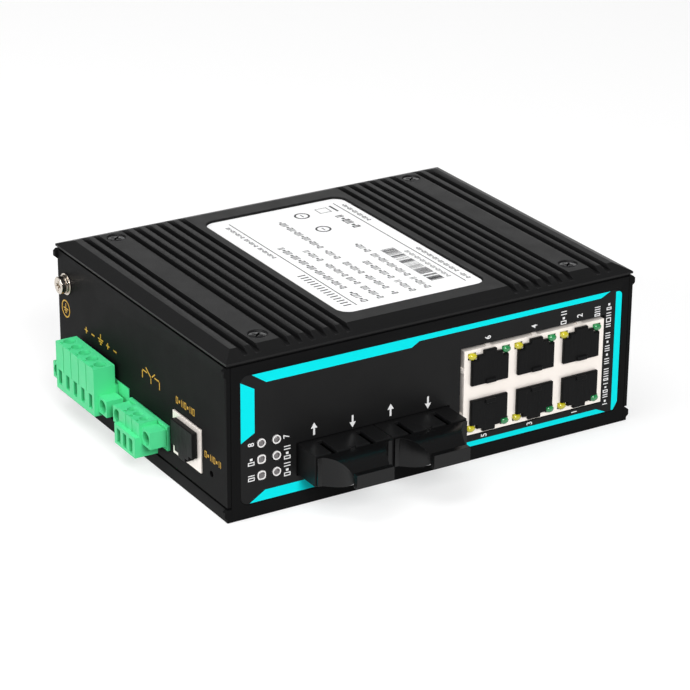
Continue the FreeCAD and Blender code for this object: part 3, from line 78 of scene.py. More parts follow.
class Axis(Enum):
    """The axis that a flat print or a turned piece faces along."""

    X = 0
    Y = 1
    Z = 2


# ------------------------------------------------------------------ finishes

class NodeWork:
    """Adds and joins the nodes of one tree.

    Attributes:
        tree: The tree.
    """

    tree: bpy.types.NodeTree

    def add(self, kind: str, **values: object) -> bpy.types.Node:
        """Adds a node and sets its inputs by name.

        Args:
            kind: The node's Blender type, such as ShaderNodeTexNoise.
            values: Input names, with spaces as underscores, and their values.

        Returns:
            The new node.
        """
        node = self.tree.nodes.new(kind)
        for name, value in values.items():
            node.inputs[name.replace("_", " ")].default_value = value
        return node

    def join(self, source: bpy.types.NodeSocket, target: bpy.types.NodeSocket) -> None:
        """Links an output to an input."""
        self.tree.links.new(source, target)

    def feed(self, term: Term, target: bpy.types.NodeSocket) -> None:
        """Gives an input its value.

        Args:
            term: Another node's output, or a number.
            target: The input.
        """
        if isinstance(term, bpy.types.NodeSocket):
            self.join(term, target)
        else:
            target.default_value = term

    def worked_out(self, operation: str, first: Term, second: Term) -> bpy.types.NodeSocket:
        """Adds a math node.

        Args:
            operation: The math node's operation.
            first: An output or a number.
            second: An output or a number.

        Returns:
            The result's socket.
        """
        node = self.add("ShaderNodeMath")
        node.operation = operation
        for slot, term in enumerate((first, second)):
            self.feed(term, node.inputs[slot])
        return node.outputs[0]


@dataclass
class ShaderTree(NodeWork):
    """The shader nodes of one material or world.

    Attributes:
        tree: The material's or the world's tree.
    """

    tree: bpy.types.NodeTree

    def noise(self, scale: float, detail: float, stretch: Place) -> bpy.types.NodeSocket:
        """Adds a noise on object coordinates, finer along the stretched axes.

        Args:
            scale: Cells per metre.
            detail: Octaves of the noise.
            stretch: Factors along X, Y and Z.

        Returns:
            The noise's socket.
        """
        place = self.add("ShaderNodeTexCoord")
        mapping = self.add("ShaderNodeMapping", Scale=stretch)
        texture = self.add("ShaderNodeTexNoise", Scale=scale, Detail=detail)
        self.join(place.outputs["Object"], mapping.inputs["Vector"])
        self.join(mapping.outputs["Vector"], texture.inputs["Vector"])
        return texture.outputs["Fac"]

    def range_of(self, source: bpy.types.NodeSocket, low: float,
                 high: float) -> bpy.types.NodeSocket:
        """Maps a noise's middle span to a range of values.

        Args:
            source: The noise's output.
            low: The value at the noise's dark end.
            high: The value at its bright end.

        Returns:
            The mapped value's socket.
        """
        node = self.add("ShaderNodeMapRange", From_Min=NOISE_LOW, From_Max=NOISE_HIGH,
                        To_Min=low, To_Max=high)
        self.join(source, node.inputs["Value"])
        return node.outputs["Result"]


@dataclass(frozen=True)
class Finish:
    """A surface finish: a base colour with mottling, roughness that drifts, and a fine bump.

    Attributes:
        name: The material's name.
        colour: Its middle colour, linear.
        roughness: Its middle roughness.
        metallic: 1 on bare metal, 0 elsewhere.
        mottle: How far the colour drifts, as a share of itself.
        drift: How far the roughness drifts.
        grain: Cells per metre of the fine bump.
        relief: Height of the fine bump, in metres.
        stretch: How the grain is drawn out along X, Y and Z.
        coat: Weight of a clear coat.
        specular: Specular level.
        coat_roughness: Roughness of the clear coat.
        clouds: Cells per metre of the mottling.
        patches: Cells per metre of the roughness's drift.
        bump: Strength of the fine bump.
    """

    name: str
    colour: Colour
    roughness: float
    metallic: float = 0.0
    mottle: float = 0.12
    drift: float = 0.06
    grain: float = 2600.0
    relief: float = 0.00002
    stretch: Place = (1.0, 1.0, 1.0)
    coat: float = 0.0
    specular: float = 0.5
    coat_roughness: float = 0.15
    clouds: float = 55.0
    patches: float = 140.0
    bump: float = 0.6

    def material(self) -> bpy.types.Material:
        """Builds the finish's material once and gives the same one after that.

        Returns:
            The material.
        """
        made = bpy.data.materials.get(self.name)
        if made is not None:
            return made
        made = bpy.data.materials.new(self.name)
        made.use_nodes = True
        made.diffuse_color = (*self.colour, 1.0)
        tree = ShaderTree(made.node_tree)
        shader = made.node_tree.nodes["Principled BSDF"]
        for name, value in (("Metallic", self.metallic), ("Specular IOR Level", self.specular),
                            ("Coat Weight", self.coat),
                            ("Coat Roughness", self.coat_roughness)):
            shader.inputs[name].default_value = value
        self.paint(tree, shader)
        self.roughen(tree, shader)
        return made

    def paint(self, tree: ShaderTree, shader: bpy.types.Node) -> None:
        """Gives the shader its mottled colour.

        Args:
            tree: The material's node helper.
            shader: The principled shader.
        """
        mix = tree.add("ShaderNodeMix")
        mix.data_type = "RGBA"
        for socket, share in ((MIX_FIRST, 1.0 - self.mottle), (MIX_SECOND, 1.0 + self.mottle)):
            tone = [min(1.0, max(0.0, part * share)) for part in self.colour]
            mix.inputs[socket].default_value = (*tone, 1.0)
        tree.join(tree.noise(self.clouds, CLOUD_DETAIL, (1.0, 1.0, 1.0)), mix.inputs["Factor"])
        tree.join(mix.outputs[MIX_RESULT], shader.inputs["Base Color"])

    def roughen(self, tree: ShaderTree, shader: bpy.types.Node) -> None:
        """Gives the shader its drifting roughness and its fine bump.

        Args:
            tree: The material's node helper.
            shader: The principled shader.
        """
        patch = tree.noise(self.patches, PATCH_DETAIL, self.stretch)
        low = max(LEAST_ROUGHNESS, self.roughness - self.drift)
        high = min(1.0, self.roughness + self.drift)
        tree.join(tree.range_of(patch, low, high), shader.inputs["Roughness"])
        bump = tree.add("ShaderNodeBump", Strength=self.bump, Distance=self.relief)
        tree.join(tree.noise(self.grain, GRAIN_DETAIL, self.stretch), bump.inputs["Height"])
        tree.join(bump.outputs["Normal"], shader.inputs["Normal"])


POWDER_COAT = Finish("black_powder_coat", (0.0048, 0.0048, 0.005), 0.54, mottle=0.05,
                     drift=0.02, grain=3200.0, relief=0.00003, specular=0.05)
COVER_COAT = Finish("black_cover_coat", (0.0042, 0.0042, 0.0044), 0.42, mottle=0.05,
                    drift=0.03, grain=2800.0, relief=0.00004, specular=0.2)
PANEL_FILM = Finish("black_panel_film", (0.0078, 0.0078, 0.008), 0.42, mottle=0.05,
                    grain=5200.0, relief=0.000006, specular=0.12)
CYAN_INK = Finish("cyan_ink", (0.0, 0.78, 0.82), 0.5, mottle=0.02, grain=4000.0,
                  relief=0.000004, specular=0.1)
WHITE_INK = Finish("white_ink", (0.84, 0.84, 0.84), 0.5, mottle=0.02, relief=0.000004)
GOLD_INK = Finish("gold_ink", (0.6, 0.34, 0.02), 0.5, mottle=0.08, relief=0.000004)
GREY_INK = Finish("grey_ink", (0.03, 0.03, 0.033), 0.6, mottle=0.1, relief=0.000004)
LABEL_SHEET = Finish("white_label_sheet", (0.93, 0.93, 0.932), 0.42, mottle=0.015, drift=0.04,
                     grain=900.0, relief=0.00001)
BLACK_ZINC = Finish("black_zinc_screw", (0.018, 0.018, 0.019), 0.2, metallic=0.9, mottle=0.2,
                    grain=5000.0, relief=0.00001)
BRIGHT_NICKEL = Finish("bright_nickel", (0.62, 0.56, 0.49), 0.16, metallic=1.0, mottle=0.06,
                       drift=0.05, grain=5200.0, relief=0.000004)
RAIL_ZINC = Finish("black_zinc_plate", (0.05, 0.05, 0.055), 0.36, metallic=0.85, mottle=0.1)
ZINC_PLATE = Finish("zinc_plate", (0.56, 0.57, 0.58), 0.3, metallic=1.0, mottle=0.08)
SPRING_STEEL = Finish("spring_steel", (0.6, 0.6, 0.61), 0.24, metallic=1.0, mottle=0.05,
                      stretch=(1.0, 1.0, 12.0))
TIN_SHELL = Finish("tin_plated_shell", (0.98, 0.9, 0.835), 0.4, metallic=0.35, mottle=0.04,
                   drift=0.07, grain=1500.0, relief=0.000008, stretch=(6.0, 1.0, 1.0))
GOLD_CONTACT = Finish("gold_contact", (0.9, 0.62, 0.22), 0.22, metallic=1.0, mottle=0.05)
TINNED_PIN = Finish("tinned_pin", (0.7, 0.69, 0.65), 0.28, metallic=1.0, mottle=0.06)
TERMINAL_SCREW = Finish("zinc_terminal_screw", (0.3, 0.31, 0.28), 0.34, metallic=0.9,
                        mottle=0.15)
BLACK_MOULDING = Finish("black_moulding", (0.009, 0.009, 0.0095), 0.42, mottle=0.1,
                        grain=4200.0, relief=0.00001, specular=0.15)
MODULE_PLASTIC = Finish("black_module_plastic", (0.0075, 0.0075, 0.0078), 0.4, mottle=0.1,
                        grain=3600.0, relief=0.00001, specular=0.15)
CAP_RUBBER = Finish("soft_black_cap", (0.0035, 0.0035, 0.0037), 0.23, mottle=0.08, drift=0.04,
                    grain=900.0, relief=0.00001, specular=0.25)
BLACK_RUBBER = Finish("black_rubber", (0.0062, 0.0062, 0.0064), 0.38, mottle=0.2, drift=0.12,
                      grain=620.0, relief=0.00012, stretch=(2.6, 1.0, 0.5), specular=0.07)
GREEN_TERMINAL = Finish("green_terminal", (0.075, 0.66, 0.27), 0.42, mottle=0.05,
                        grain=3000.0, relief=0.000012, specular=0.35)
YELLOW_LIGHT = Finish("yellow_light_guide", (0.52, 0.46, 0.006), 0.14, mottle=0.2, coat=0.8)
GREEN_LIGHT = Finish("green_light_guide", (0.008, 0.23, 0.06), 0.14, mottle=0.2, coat=0.8)
CLEAR_LIGHT = Finish("clear_light_dome", (0.12, 0.11, 0.112), 0.2, mottle=0.3, coat=0.6)
CLEAR_RING = Finish("clear_ring", (0.86, 0.84, 0.83), 0.3, mottle=0.06, coat=0.3)
FERRULE = Finish("ceramic_ferrule", (0.82, 0.81, 0.77), 0.3, mottle=0.02)
SOLDER_MASK = Finish("green_solder_mask", (0.012, 0.12, 0.05), 0.3, mottle=0.2, coat=0.3)
CHIP_EPOXY = Finish("chip_epoxy", (0.012, 0.012, 0.0125), 0.55, mottle=0.1)
RELAY_CASE = Finish("relay_case", (0.72, 0.71, 0.67), 0.4, mottle=0.03)
CAN_SLEEVE = Finish("capacitor_sleeve", (0.03, 0.032, 0.06), 0.3, mottle=0.1, coat=0.4)


# ------------------------------------------------------------------ mesh tools

def linked_object(name: str, data: bpy.types.ID) -> bpy.types.Object:
    """Makes an object of some data and links it to the scene.

    Args:
        name: The object's name.
        data: Its mesh, curve, lamp or camera.

    Returns:
        The new object.
    """
    item = bpy.data.objects.new(name, data)
    bpy.context.scene.collection.objects.link(item)
    return item


def evaluated_mesh(item: bpy.types.Object) -> bpy.types.Mesh:
    """Takes the plain mesh that an object gives with its modifiers.

    Args:
        item: The object.

    Returns:
        The mesh.
    """
    bpy.context.view_layer.update()
    state = bpy.context.evaluated_depsgraph_get()
    return bpy.data.meshes.new_from_object(item.evaluated_get(state))


def finished_mesh(work: bmesh.types.BMesh, name: str) -> bpy.types.Mesh:
    """Closes the work on a mesh and keeps its result.

    Args:
        work: The mesh as it is worked on, which is freed.
        name: The kept mesh's name.

    Returns:
        The kept mesh.
    """
    mesh = bpy.data.meshes.new(name)
    work.to_mesh(mesh)
    work.free()
    return mesh


def scrap(*items: bpy.types.Object) -> None:
    """Removes helper objects with their modifiers and their meshes or curves.

    Args:
        items: The helpers.
    """
    for item in items:
        data = item.data
        item.modifiers.clear()
        bpy.data.objects.remove(item)
        store = bpy.data.curves if isinstance(data, bpy.types.Curve) else bpy.data.meshes
        store.remove(data)


def new_piece(name: str, mesh: bpy.types.Mesh, finish: Finish,
              node: Optional[str] = None) -> None:
    """Puts a finished mesh in the scene, on the switch's body, in its finish.

    Args:
        name: The piece's name.
        mesh: Its mesh, with its place in its vertices.
        finish: What covers it.
        node: The CAD node that it replaces, where it stands for one.
    """
    piece = linked_object(name, mesh)
    mesh.name = name
    mesh.materials.clear()
    mesh.materials.append(finish.material())
    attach(piece, SWITCH)
    if node is not None:
        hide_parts(node)
    LOG.info("%s: %d faces in %s", name, len(mesh.polygons), finish.name)


def dress(node: str, finish: Finish) -> None:
    """Gives a CAD node its finish.

    Args:
        node: The node's name.
        finish: What covers it.
    """
    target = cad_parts[node]
    material = finish.material()
    if not target.material_slots:
        target.data.materials.append(material)
    for slot in target.material_slots:
        slot.material = material
    LOG.info("%s: dressed in %s", node, finish.name)


def opened(node: str) -> bmesh.types.BMesh:
    """Opens a copy of a CAD node's mesh for work, with its faces joined at their corners.

    Args:
        node: The node's name.

    Returns:
        The copy.
    """
    work = bmesh.new()
    work.from_mesh(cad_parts[node].data)
    bmesh.ops.remove_doubles(work, verts=work.verts, dist=MERGE)
    return work


def soften(node: str, finish: Finish, width: float, segments: int = 2,
           flat_angle: float = 28.0) -> None:
    """Stands a copy with worn-in round edges in a CAD node's place.

    Args:
        node: The node that it replaces.
        finish: What covers it.
        width: Width of the rounding, in metres.
        segments: Steps across a rounding.
        flat_angle: Edges that bend less than this many degrees stay as they are.
    """
    work = opened(node)
    bmesh.ops.dissolve_limit(work, angle_limit=math.radians(ONE_FACE), verts=work.verts,
                             edges=work.edges, delimit={"NORMAL"})
    helper = linked_object(node + "_work", finished_mesh(work, node + "_work"))
    smooth(helper.data, flat_angle)
    bevel = helper.modifiers.new("round", "BEVEL")
    bevel.width = width
    bevel.segments = segments
    bevel.limit_method = "ANGLE"
    bevel.angle_limit = math.radians(flat_angle)
    bevel.use_clamp_overlap = True
    bevel.harden_normals = True
    shaped = evaluated_mesh(helper)
    scrap(helper)
    new_piece(node + "_soft", shaped, finish, node)


def smooth(mesh: bpy.types.Mesh, angle: float) -> None:
    """Shades a mesh smooth, apart from edges that bend by more than an angle in degrees."""
    mesh.polygons.foreach_set("use_smooth", [True] * len(mesh.polygons))
    mesh.set_sharp_from_angle(angle=math.radians(angle))


def span_of(points: Iterable[Vector]) -> Box:
    """Finds the box around some points.

    Args:
        points: The points.

    Returns:
        The box's lowest and highest corners.
    """
    spots = list(points)
    low, high = (Vector([end(spot[axis] for spot in spots) for axis in range(3)])
                 for end in (min, max))
    return low, high


def islands(node: str) -> list[Box]:
    """Finds the boxes of a CAD node's separate solids, in order along X, then Y, then Z.

    Args:
        node: The node's name.

    Returns:
        Each solid's lowest and highest corners.
    """
    work = opened(node)
    left = set(work.verts)
    found: list[Box] = []
    while left:
        edge_of = [left.pop()]
        reached = list(edge_of)
        while edge_of:
            corner = edge_of.pop()
            near = {link.other_vert(corner) for link in corner.link_edges} & left
            left -= near
            reached.extend(near)
            edge_of.extend(near)
        found.append(span_of(vertex.co for vertex in reached))
    work.free()
    return sorted(found, key=lambda pair: tuple(round(part, 5) for part in pair[0]))


def on_face(axis: Axis, level: float, spot: Point) -> Vector:
    """Sets a flat outline's point on a face across an axis.

    Args:
        axis: The axis that the face looks along.
        level: The face's place on that axis.
        spot: The point across and up the face: (x, z), (y, z) or (x, y).

    Returns:
        The point in space.
    """
    parts = list(spot)
    parts.insert(axis.value, level)
    return Vector(parts)


def corners_of(low: Point, high: Point) -> list[Point]:
    """Gives the four corners of the rectangle between a low and a high corner."""
    return [low, (high[0], low[1]), high, (low[0], high[1])]


@dataclass
class Print:
    """Flat ink on one face: outlines of the same colour, joined in one thin mesh.

    Attributes:
        name: The piece's name.
        axis: The axis that the face looks along.
        level: The face's place on that axis, in metres.
        way: 1 where the face looks up the axis, -1 where it looks down it.
        finish: The ink.
        lift: The ink's thickness over the face, in metres.
        outlines: The areas of ink, in millimetres.
    """

    name: str
    axis: Axis
    level: float
    way: int
    finish: Finish
    lift: float = INK_LIFT
    outlines: list[list[Point]] = field(default_factory=list)

    def area(self, outline: Iterable[Point]) -> None:
        """Adds a closed outline of ink."""
        self.outlines.append(list(outline))

    def bar(self, low: Point, high: Point) -> None:
        """Adds a rectangle of ink from its low corner to its high corner."""
        self.area(corners_of(low, high))

    def open_frame(self, low: Point, high: Point, line: float) -> None:
        """Adds a rectangle's rim of ink as four bars.

        Args:
            low: The rim's low corner.
            high: Its high corner.
            line: The width of its line.
        """
        for start, end in ((low[0], low[0] + line), (high[0] - line, high[0])):
            self.bar((start, low[1]), (end, high[1]))
        for start, end in ((low[1], low[1] + line), (high[1] - line, high[1])):
            self.bar((low[0] + line, start), (high[0] - line, end))

    def ring(self, middle: Point, radius: float, width: float, steps: int = 40) -> None:
        """Adds a ring of ink as a run of short strips.

        Args:
            middle: The ring's centre.
            radius: Its middle radius.
            width: The width of its line.
            steps: The strips around it.
        """
        for step in range(steps):
            turns = [2 * math.pi * (step + part) / steps for part in (0, 1)]
            inner = [self.polar(middle, radius - width / 2, turn) for turn in turns]
            outer = [self.polar(middle, radius + width / 2, turn) for turn in turns]
            self.area([inner[0], outer[0], outer[1], inner[1]])

    @staticmethod
    def polar(middle: Point, radius: float, turn: float) -> Point:
        """Gives the point at a radius and a turn about a middle."""
        return (middle[0] + radius * math.cos(turn), middle[1] + radius * math.sin(turn))

    def build(self) -> None:
        """Makes the ink's mesh, a thin closed skin on the face, and sets it on the switch."""
        work = bmesh.new()
        top = self.level + self.way * self.lift
        for outline in self.outlines:
            face = work.faces.new([
                work.verts.new(on_face(self.axis, top, (first * MM, second * MM)))
                for first, second in outline])
            face.normal_update()
            if face.normal[self.axis.value] * self.way < 0:
                face.normal_flip()
        bmesh.ops.remove_doubles(work, verts=work.verts, dist=INK_MERGE)
        skin = bmesh.ops.extrude_face_region(work, geom=list(work.faces))
        sunk = [item for item in skin["geom"] if isinstance(item, bmesh.types.BMVert)]
        shift = Vector((0.0, 0.0, 0.0))
        shift[self.axis.value] = -self.way * self.lift
        bmesh.ops.translate(work, verts=sunk, vec=shift)
        bmesh.ops.recalc_face_normals(work, faces=work.faces)
        new_piece(self.name, finished_mesh(work, self.name), self.finish)


def turned(name: str, rim: Sequence[Point], steps: int = 32) -> bpy.types.Mesh:
    """Turns a profile about the Z axis into a closed mesh.

    Args:
        name: The mesh's name.
        rim: The profile's points, each a radius and a height, from the axis out and back.
        steps: The faces around it.

    Returns:
        The turned mesh, about its own origin.
    """
    work = bmesh.new()
    rows: list[list[bmesh.types.BMVert]] = []
    for radius, height in rim:
        if radius <= 0.0:
            rows.append([work.verts.new((0.0, 0.0, height))] * steps)
            continue
        turns = [2 * math.pi * step / steps for step in range(steps)]
        rows.append([work.verts.new((radius * math.cos(turn), radius * math.sin(turn), height))
                     for turn in turns])
    for low, high in zip(rows, rows[1:]):
        for step in range(steps):
            after = (step + 1) % steps
            ring = [low[step], low[after], high[after], high[step]]
            corners = list(dict.fromkeys(ring))
            if len(corners) > 2:
                work.faces.new(corners)
    bmesh.ops.recalc_face_normals(work, faces=work.faces)
    return finished_mesh(work, name)


def carved(mesh: bpy.types.Mesh, slots: Sequence[Place], turn: float) -> bpy.types.Mesh:
    """Cuts straight slots down from a turned head's top.

    Args:
        mesh: The head, with its top at zero height.
        slots: Each slot's length, width and depth.
        turn: How far the slots are turned about the head, in degrees.

    Returns:
        The cut head; the uncut one is removed.
    """
    name = mesh.name + "_cut"
    head = linked_object(mesh.name + "_head", mesh)
    tools = []
    for long, wide, deep in slots:
        work = bmesh.new()
        bmesh.ops.create_cube(work, size=1.0)
        bmesh.ops.scale(work, verts=work.verts, vec=(long, wide, 2 * deep))
        bmesh.ops.rotate(work, verts=work.verts, cent=(0.0, 0.0, 0.0),
                         matrix=Matrix.Rotation(math.radians(turn), 3, "Z"))
        tools.append(linked_object("slot", finished_mesh(work, "slot")))
        cut = head.modifiers.new("slot", "BOOLEAN")
        cut.operation = "DIFFERENCE"
        cut.solver = "EXACT"
        cut.object = tools[-1]
    shaped = evaluated_mesh(head)
    shaped.name = name
    scrap(head, *tools)
    smooth(shaped, CARVED_SMOOTH)
    return shaped


# ------------------------------------------------------------------ geometry nodes

@dataclass
class Pattern(NodeWork):
    """A geometry node tree that repeats one shape over a set of points, built in the script.

    Attributes:
        name: The tree's name.
        sizes: The tree's named number inputs and their values.
        inputs: The sockets that give the tree its inputs.
    """

    name: str
    sizes: dict[str, float]
    inputs: bpy.types.NodeOutputs = field(init=False)

    def __post_init__(self) -> None:
        """Makes the empty tree with its named inputs."""
        self.tree = bpy.data.node_groups.new(self.name, "GeometryNodeTree")
        sockets = [("Geometry", "OUTPUT", "NodeSocketGeometry"),
                   *((size, "INPUT", "NodeSocketFloat") for size in self.sizes),
                   ("Finish", "INPUT", "NodeSocketMaterial")]
        for label, way, kind in sockets:
            self.tree.interface.new_socket(label, in_out=way, socket_type=kind)
        self.inputs = self.add("NodeGroupInput").outputs

    def vector(self, **parts: Term) -> bpy.types.NodeSocket:
        """Combines X, Y and Z in a vector.

        Args:
            parts: X, Y and Z, each an output or a number.

        Returns:
            The vector's socket.
        """
        node = self.add("ShaderNodeCombineXYZ")
        for axis, term in parts.items():
            self.feed(term, node.inputs[axis])
        return node.outputs[0]

    def whole(self, size: str) -> bpy.types.NodeSocket:
        """Makes a named input a whole number.

        Args:
            size: The input's name.

        Returns:
            The whole number's socket.
        """
        node = self.add("FunctionNodeFloatToInt")
        self.join(self.inputs[size], node.inputs[0])
        return node.outputs[0]

    def copies(self, points: bpy.types.NodeSocket, shape: bpy.types.NodeSocket,
               scale: bpy.types.NodeSocket) -> bpy.types.Node:
        """Adds instances of a shape on points.

        Args:
            points: The points' socket.
            shape: The shape's socket.
            scale: The copies' scale.

        Returns:
            The instancing node.
        """
        node = self.add("GeometryNodeInstanceOnPoints")
        for name, source in (("Points", points), ("Instance", shape), ("Scale", scale)):
            self.join(source, node.inputs[name])
        return node

    def realise(self, copies: bpy.types.Node, name: str, finish: Finish,
                node: Optional[str] = None) -> None:
        """Ends the tree, evaluates it once and leaves its result as a plain mesh.

        Args:
            copies: The instancing node that the tree ends in.
            name: The finished piece's name.
            finish: What covers it.
            node: The CAD node that it replaces, where it stands for one.
        """
        real = self.add("GeometryNodeRealizeInstances")
        painted = self.add("GeometryNodeSetMaterial")
        end = self.add("NodeGroupOutput")
        self.join(copies.outputs["Instances"], real.inputs["Geometry"])
        self.join(real.outputs["Geometry"], painted.inputs["Geometry"])
        self.join(self.inputs["Finish"], painted.inputs["Material"])
        self.join(painted.outputs["Geometry"], end.inputs["Geometry"])
        holder = linked_object(name + "_seed", bpy.data.meshes.new(name + "_seed"))
        modifier = holder.modifiers.new("pattern", "NODES")
        modifier.node_group = self.tree
        values = {**self.sizes, "Finish": finish.material()}
        for item in self.tree.interface.items_tree:
            if item.in_out == "INPUT":
                modifier[item.identifier] = values[item.name]
        mesh = evaluated_mesh(holder)
        scrap(holder)
        smooth(mesh, PATTERN_SMOOTH)
        new_piece(name, mesh, finish, node)


def repeat_shape(name: str, shape: bpy.types.Mesh, spots: Sequence[Vector], axis: Axis, way: int,
                 finish: Finish, node: Optional[str] = None) -> None:
    """Instances a shape on points with a geometry node tree and bakes it to one piece.

    Args:
        name: The finished piece's name.
        shape: The shape's mesh, which faces up its own Z.
        spots: The places of its copies.
        axis: The axis that they face along.
        way: 1 to face up the axis, -1 to face down it.
        finish: What covers them.
        node: The CAD node that they replace, where they stand for one.
    """
    tree = Pattern(name + "_pattern", {"Scale": 1.0})
    points = bpy.data.meshes.new(name + "_points")
    points.from_pydata([tuple(spot) for spot in spots], [], [])
    helpers = [linked_object(name + "_carrier", points), linked_object(name + "_template", shape)]
    sources = []
    for helper in helpers:
        source = tree.add("GeometryNodeObjectInfo", Object=helper)
        sources.append(source.outputs["Geometry"])
    copies = tree.copies(*sources, tree.vector(**{part: tree.inputs["Scale"] for part in "XYZ"}))
    copies.inputs["Rotation"].default_value = {
        Axis.X: (0.0, math.radians(90.0 * way), 0.0),
        Axis.Y: (math.radians(-90.0 * way), 0.0, 0.0),
        Axis.Z: (0.0 if way > 0 else math.pi, 0.0, 0.0)}[axis]
    tree.realise(copies, name, finish, node)
    scrap(*helpers)


# ------------------------------------------------------------------ the housing

@dataclass
class Housing:
    """Folded frame, cast top cover, bottom tray and front panel.

    Attributes:
        cast_round: Rounding of the cast cover's ribs and bevels.
        cast_flat: Cover edges that bend less than this many degrees stay as they are.
        sheet_round: Rounding of the coated sheet's cut edges.
    """

    cast_round: float = 0.1 * MM
    cast_flat: float = 12.0
    sheet_round: float = 0.16 * MM

    def build(self) -> None:
        """Rounds and coats the housing's parts."""
        soften("top_cover", COVER_COAT, self.cast_round, flat_angle=self.cast_flat)
        for node in ("chassis_frame", "bottom_cover", "front_panel"):
            soften(node, POWDER_COAT, self.sheet_round)


@dataclass
class RailClip:
    """The hook plate for the rail and its spring leaf, on the rear.

    Attributes:
        edge: Rounding of the plate's edges.
    """

    edge: float = 0.2 * MM

    def build(self) -> None:
        """Finishes the plate and the spring."""
        soften("rail_plate", RAIL_ZINC, self.edge)
        dress("rail_spring", SPRING_STEEL)


@dataclass
class GroundPoint:
    """The ground screw with its split and flat washers and the clinch nut behind them.

    Attributes:
        head_round: Rounding of the screw's head.
        washer_round: Rounding of the washers' edges.
    """

    head_round: float = 0.55 * MM
    washer_round: float = 0.12 * MM

    def build(self) -> None:
        """Rounds the screw's head and plates the stack."""
        soften("ground_screw", BRIGHT_NICKEL, self.head_round, segments=4)
        for node in ("ground_spring_washer", "ground_flat_washer"):
            soften(node, BRIGHT_NICKEL, self.washer_round)
        dress("ground_clinch_nut", ZINC_PLATE)


# ------------------------------------------------------------------ printed faces

class Reading(Enum):
    """Which way a printed row reads on its face."""

    ACROSS = 0
    UP = 90


@dataclass
class Numerals:
    """Plain port numbers, printed beside the jacks and above the lights.

    Attributes:
        level: The film's face, on Y.
        tall: Height of a figure.
        size_to_tall: The lettering's size as a multiple of a figure's height.
        bold: How far a figure's outline is drawn out.
        narrow: How far the figures are drawn in, as a share of their own width.
        places: Each figure with the middle of its place on the film, in millimetres.
    """

    level: float
    tall: float = 1.95 * MM
    size_to_tall: float = 1.42
    bold: float = 0.04 * MM
    narrow: float = 0.85
    places: tuple[tuple[str, Point], ...] = (
        ("8", (-61.3, 22.45)), ("7", (-49.9, 22.5)),
        ("6", (17.5, 38.15)), ("4", (33.8, 38.15)), ("2", (50.1, 38.15)),
        ("5", (17.0, 7.1)), ("3", (33.2, 7.1)), ("1", (49.4, 7.1)))

    def build(self) -> None:
        """Makes every figure a flat mesh, turned to read up the film, as one piece."""
        work = bmesh.new()
        stand = Matrix.Rotation(math.radians(90.0), 4, "X")
        turn = Matrix.Rotation(math.radians(Reading.UP.value), 4, "Z")
        slim = Matrix.Diagonal((self.narrow, 1.0, 1.0, 1.0))
        for sign, place in self.places:
            mesh = self.figure(sign)
            spot = Vector((place[0] * MM, self.level - INK_LIFT / 2, place[1] * MM))
            mesh.transform(Matrix.Translation(spot) @ stand @ turn @ slim)
            work.from_mesh(mesh)
            bpy.data.meshes.remove(mesh)
        bmesh.ops.remove_doubles(work, verts=work.verts, dist=MERGE)
        bmesh.ops.recalc_face_normals(work, faces=work.faces)
        new_piece("port_numbers", finished_mesh(work, "port_numbers"), WHITE_INK)

    def figure(self, sign: str) -> bpy.types.Mesh:
        """Makes one figure as a flat mesh.

        Args:
            sign: The figure.

        Returns:
            Its mesh, about its own middle.
        """
        curve = bpy.data.curves.new("figure", "FONT")
        curve.body = sign
        curve.size = self.tall * self.size_to_tall
        curve.offset = self.bold
        curve.extrude = INK_LIFT / 2
        holder = linked_object("figure", curve)
        mesh = evaluated_mesh(holder)
        scrap(holder)
        low, high = span_of(vertex.co for vertex in mesh.vertices)
        mesh.transform(Matrix.Translation(-(low + high) / 2))
        return mesh


@dataclass
class WordRow:
    """A row of small plain figures that stands where a word is printed, in millimetres.

    Attributes:
        start: Where the row starts on its face, at the foot of its figures.
        tall: Height of the figures.
        widths: Each figure's width; a negative one is a gap.
        gap: Space between figures.
        stroke: Width of the figures' lines.
        reading: Which way the row reads.
        mirror: -1 on a face where the row reads down its first axis.
        least: A figure narrower than this many lines is a single post.
        block: A block's foot and top as shares of the height; its width is the second share.
    """

    start: Point
    tall: float
    widths: tuple[float, ...]
    gap: float = 0.42
    stroke: float = 0.28
    reading: Reading = Reading.UP
    mirror: int = 1
    least: float = 2.2
    block: Point = (0.3, 0.7)

    def draw(self, ink: Print) -> None:
        """Adds the row's figures to an ink: frames, small blocks and pairs of posts in turn.

        Args:
            ink: The print that takes them.
        """
        along = 0.0
        for index, width in enumerate(self.widths):
            if width > 0:
                for low, high in self.figure(index, width):
                    corners = corners_of((along + low[0], low[1]), (along + high[0], high[1]))
                    ink.area([self.on_row(spot) for spot in corners])
            along += abs(width) + self.gap

    def figure(self, index: int, width: float) -> list[tuple[Point, Point]]:
        """Works out the strokes of one figure, along the row and up from its foot.

        Args:
            index: The figure's number in the row.
            width: The figure's width.

        Returns:
            Each stroke's low and high corner.
        """
        line, tall = self.stroke, self.tall
        posts = [((0.0, 0.0), (line, tall)), ((width - line, 0.0), (width, tall))]
        if width < self.least * line:
            return posts[:1]
        if index % 3 == 0:
            return [*posts, *(((line, level), (width - line, level + line))
                              for level in (0.0, tall - line))]
        if index % 3 == 1:
            low, high = self.block
            return [((0.0, low * tall), (high * width, high * tall))]
        return posts

    def on_row(self, spot: Point) -> Point:
        """Turns a point of a figure to the row's place and reading.

        Args:
            spot: The point, along the row and up from its foot.

        Returns:
            The point on the face.
        """
        along, up = spot
        if self.reading is Reading.UP:
            return (self.start[0] - up, self.start[1] + along)
        return (self.start[0] + self.mirror * along, self.start[1] + up)


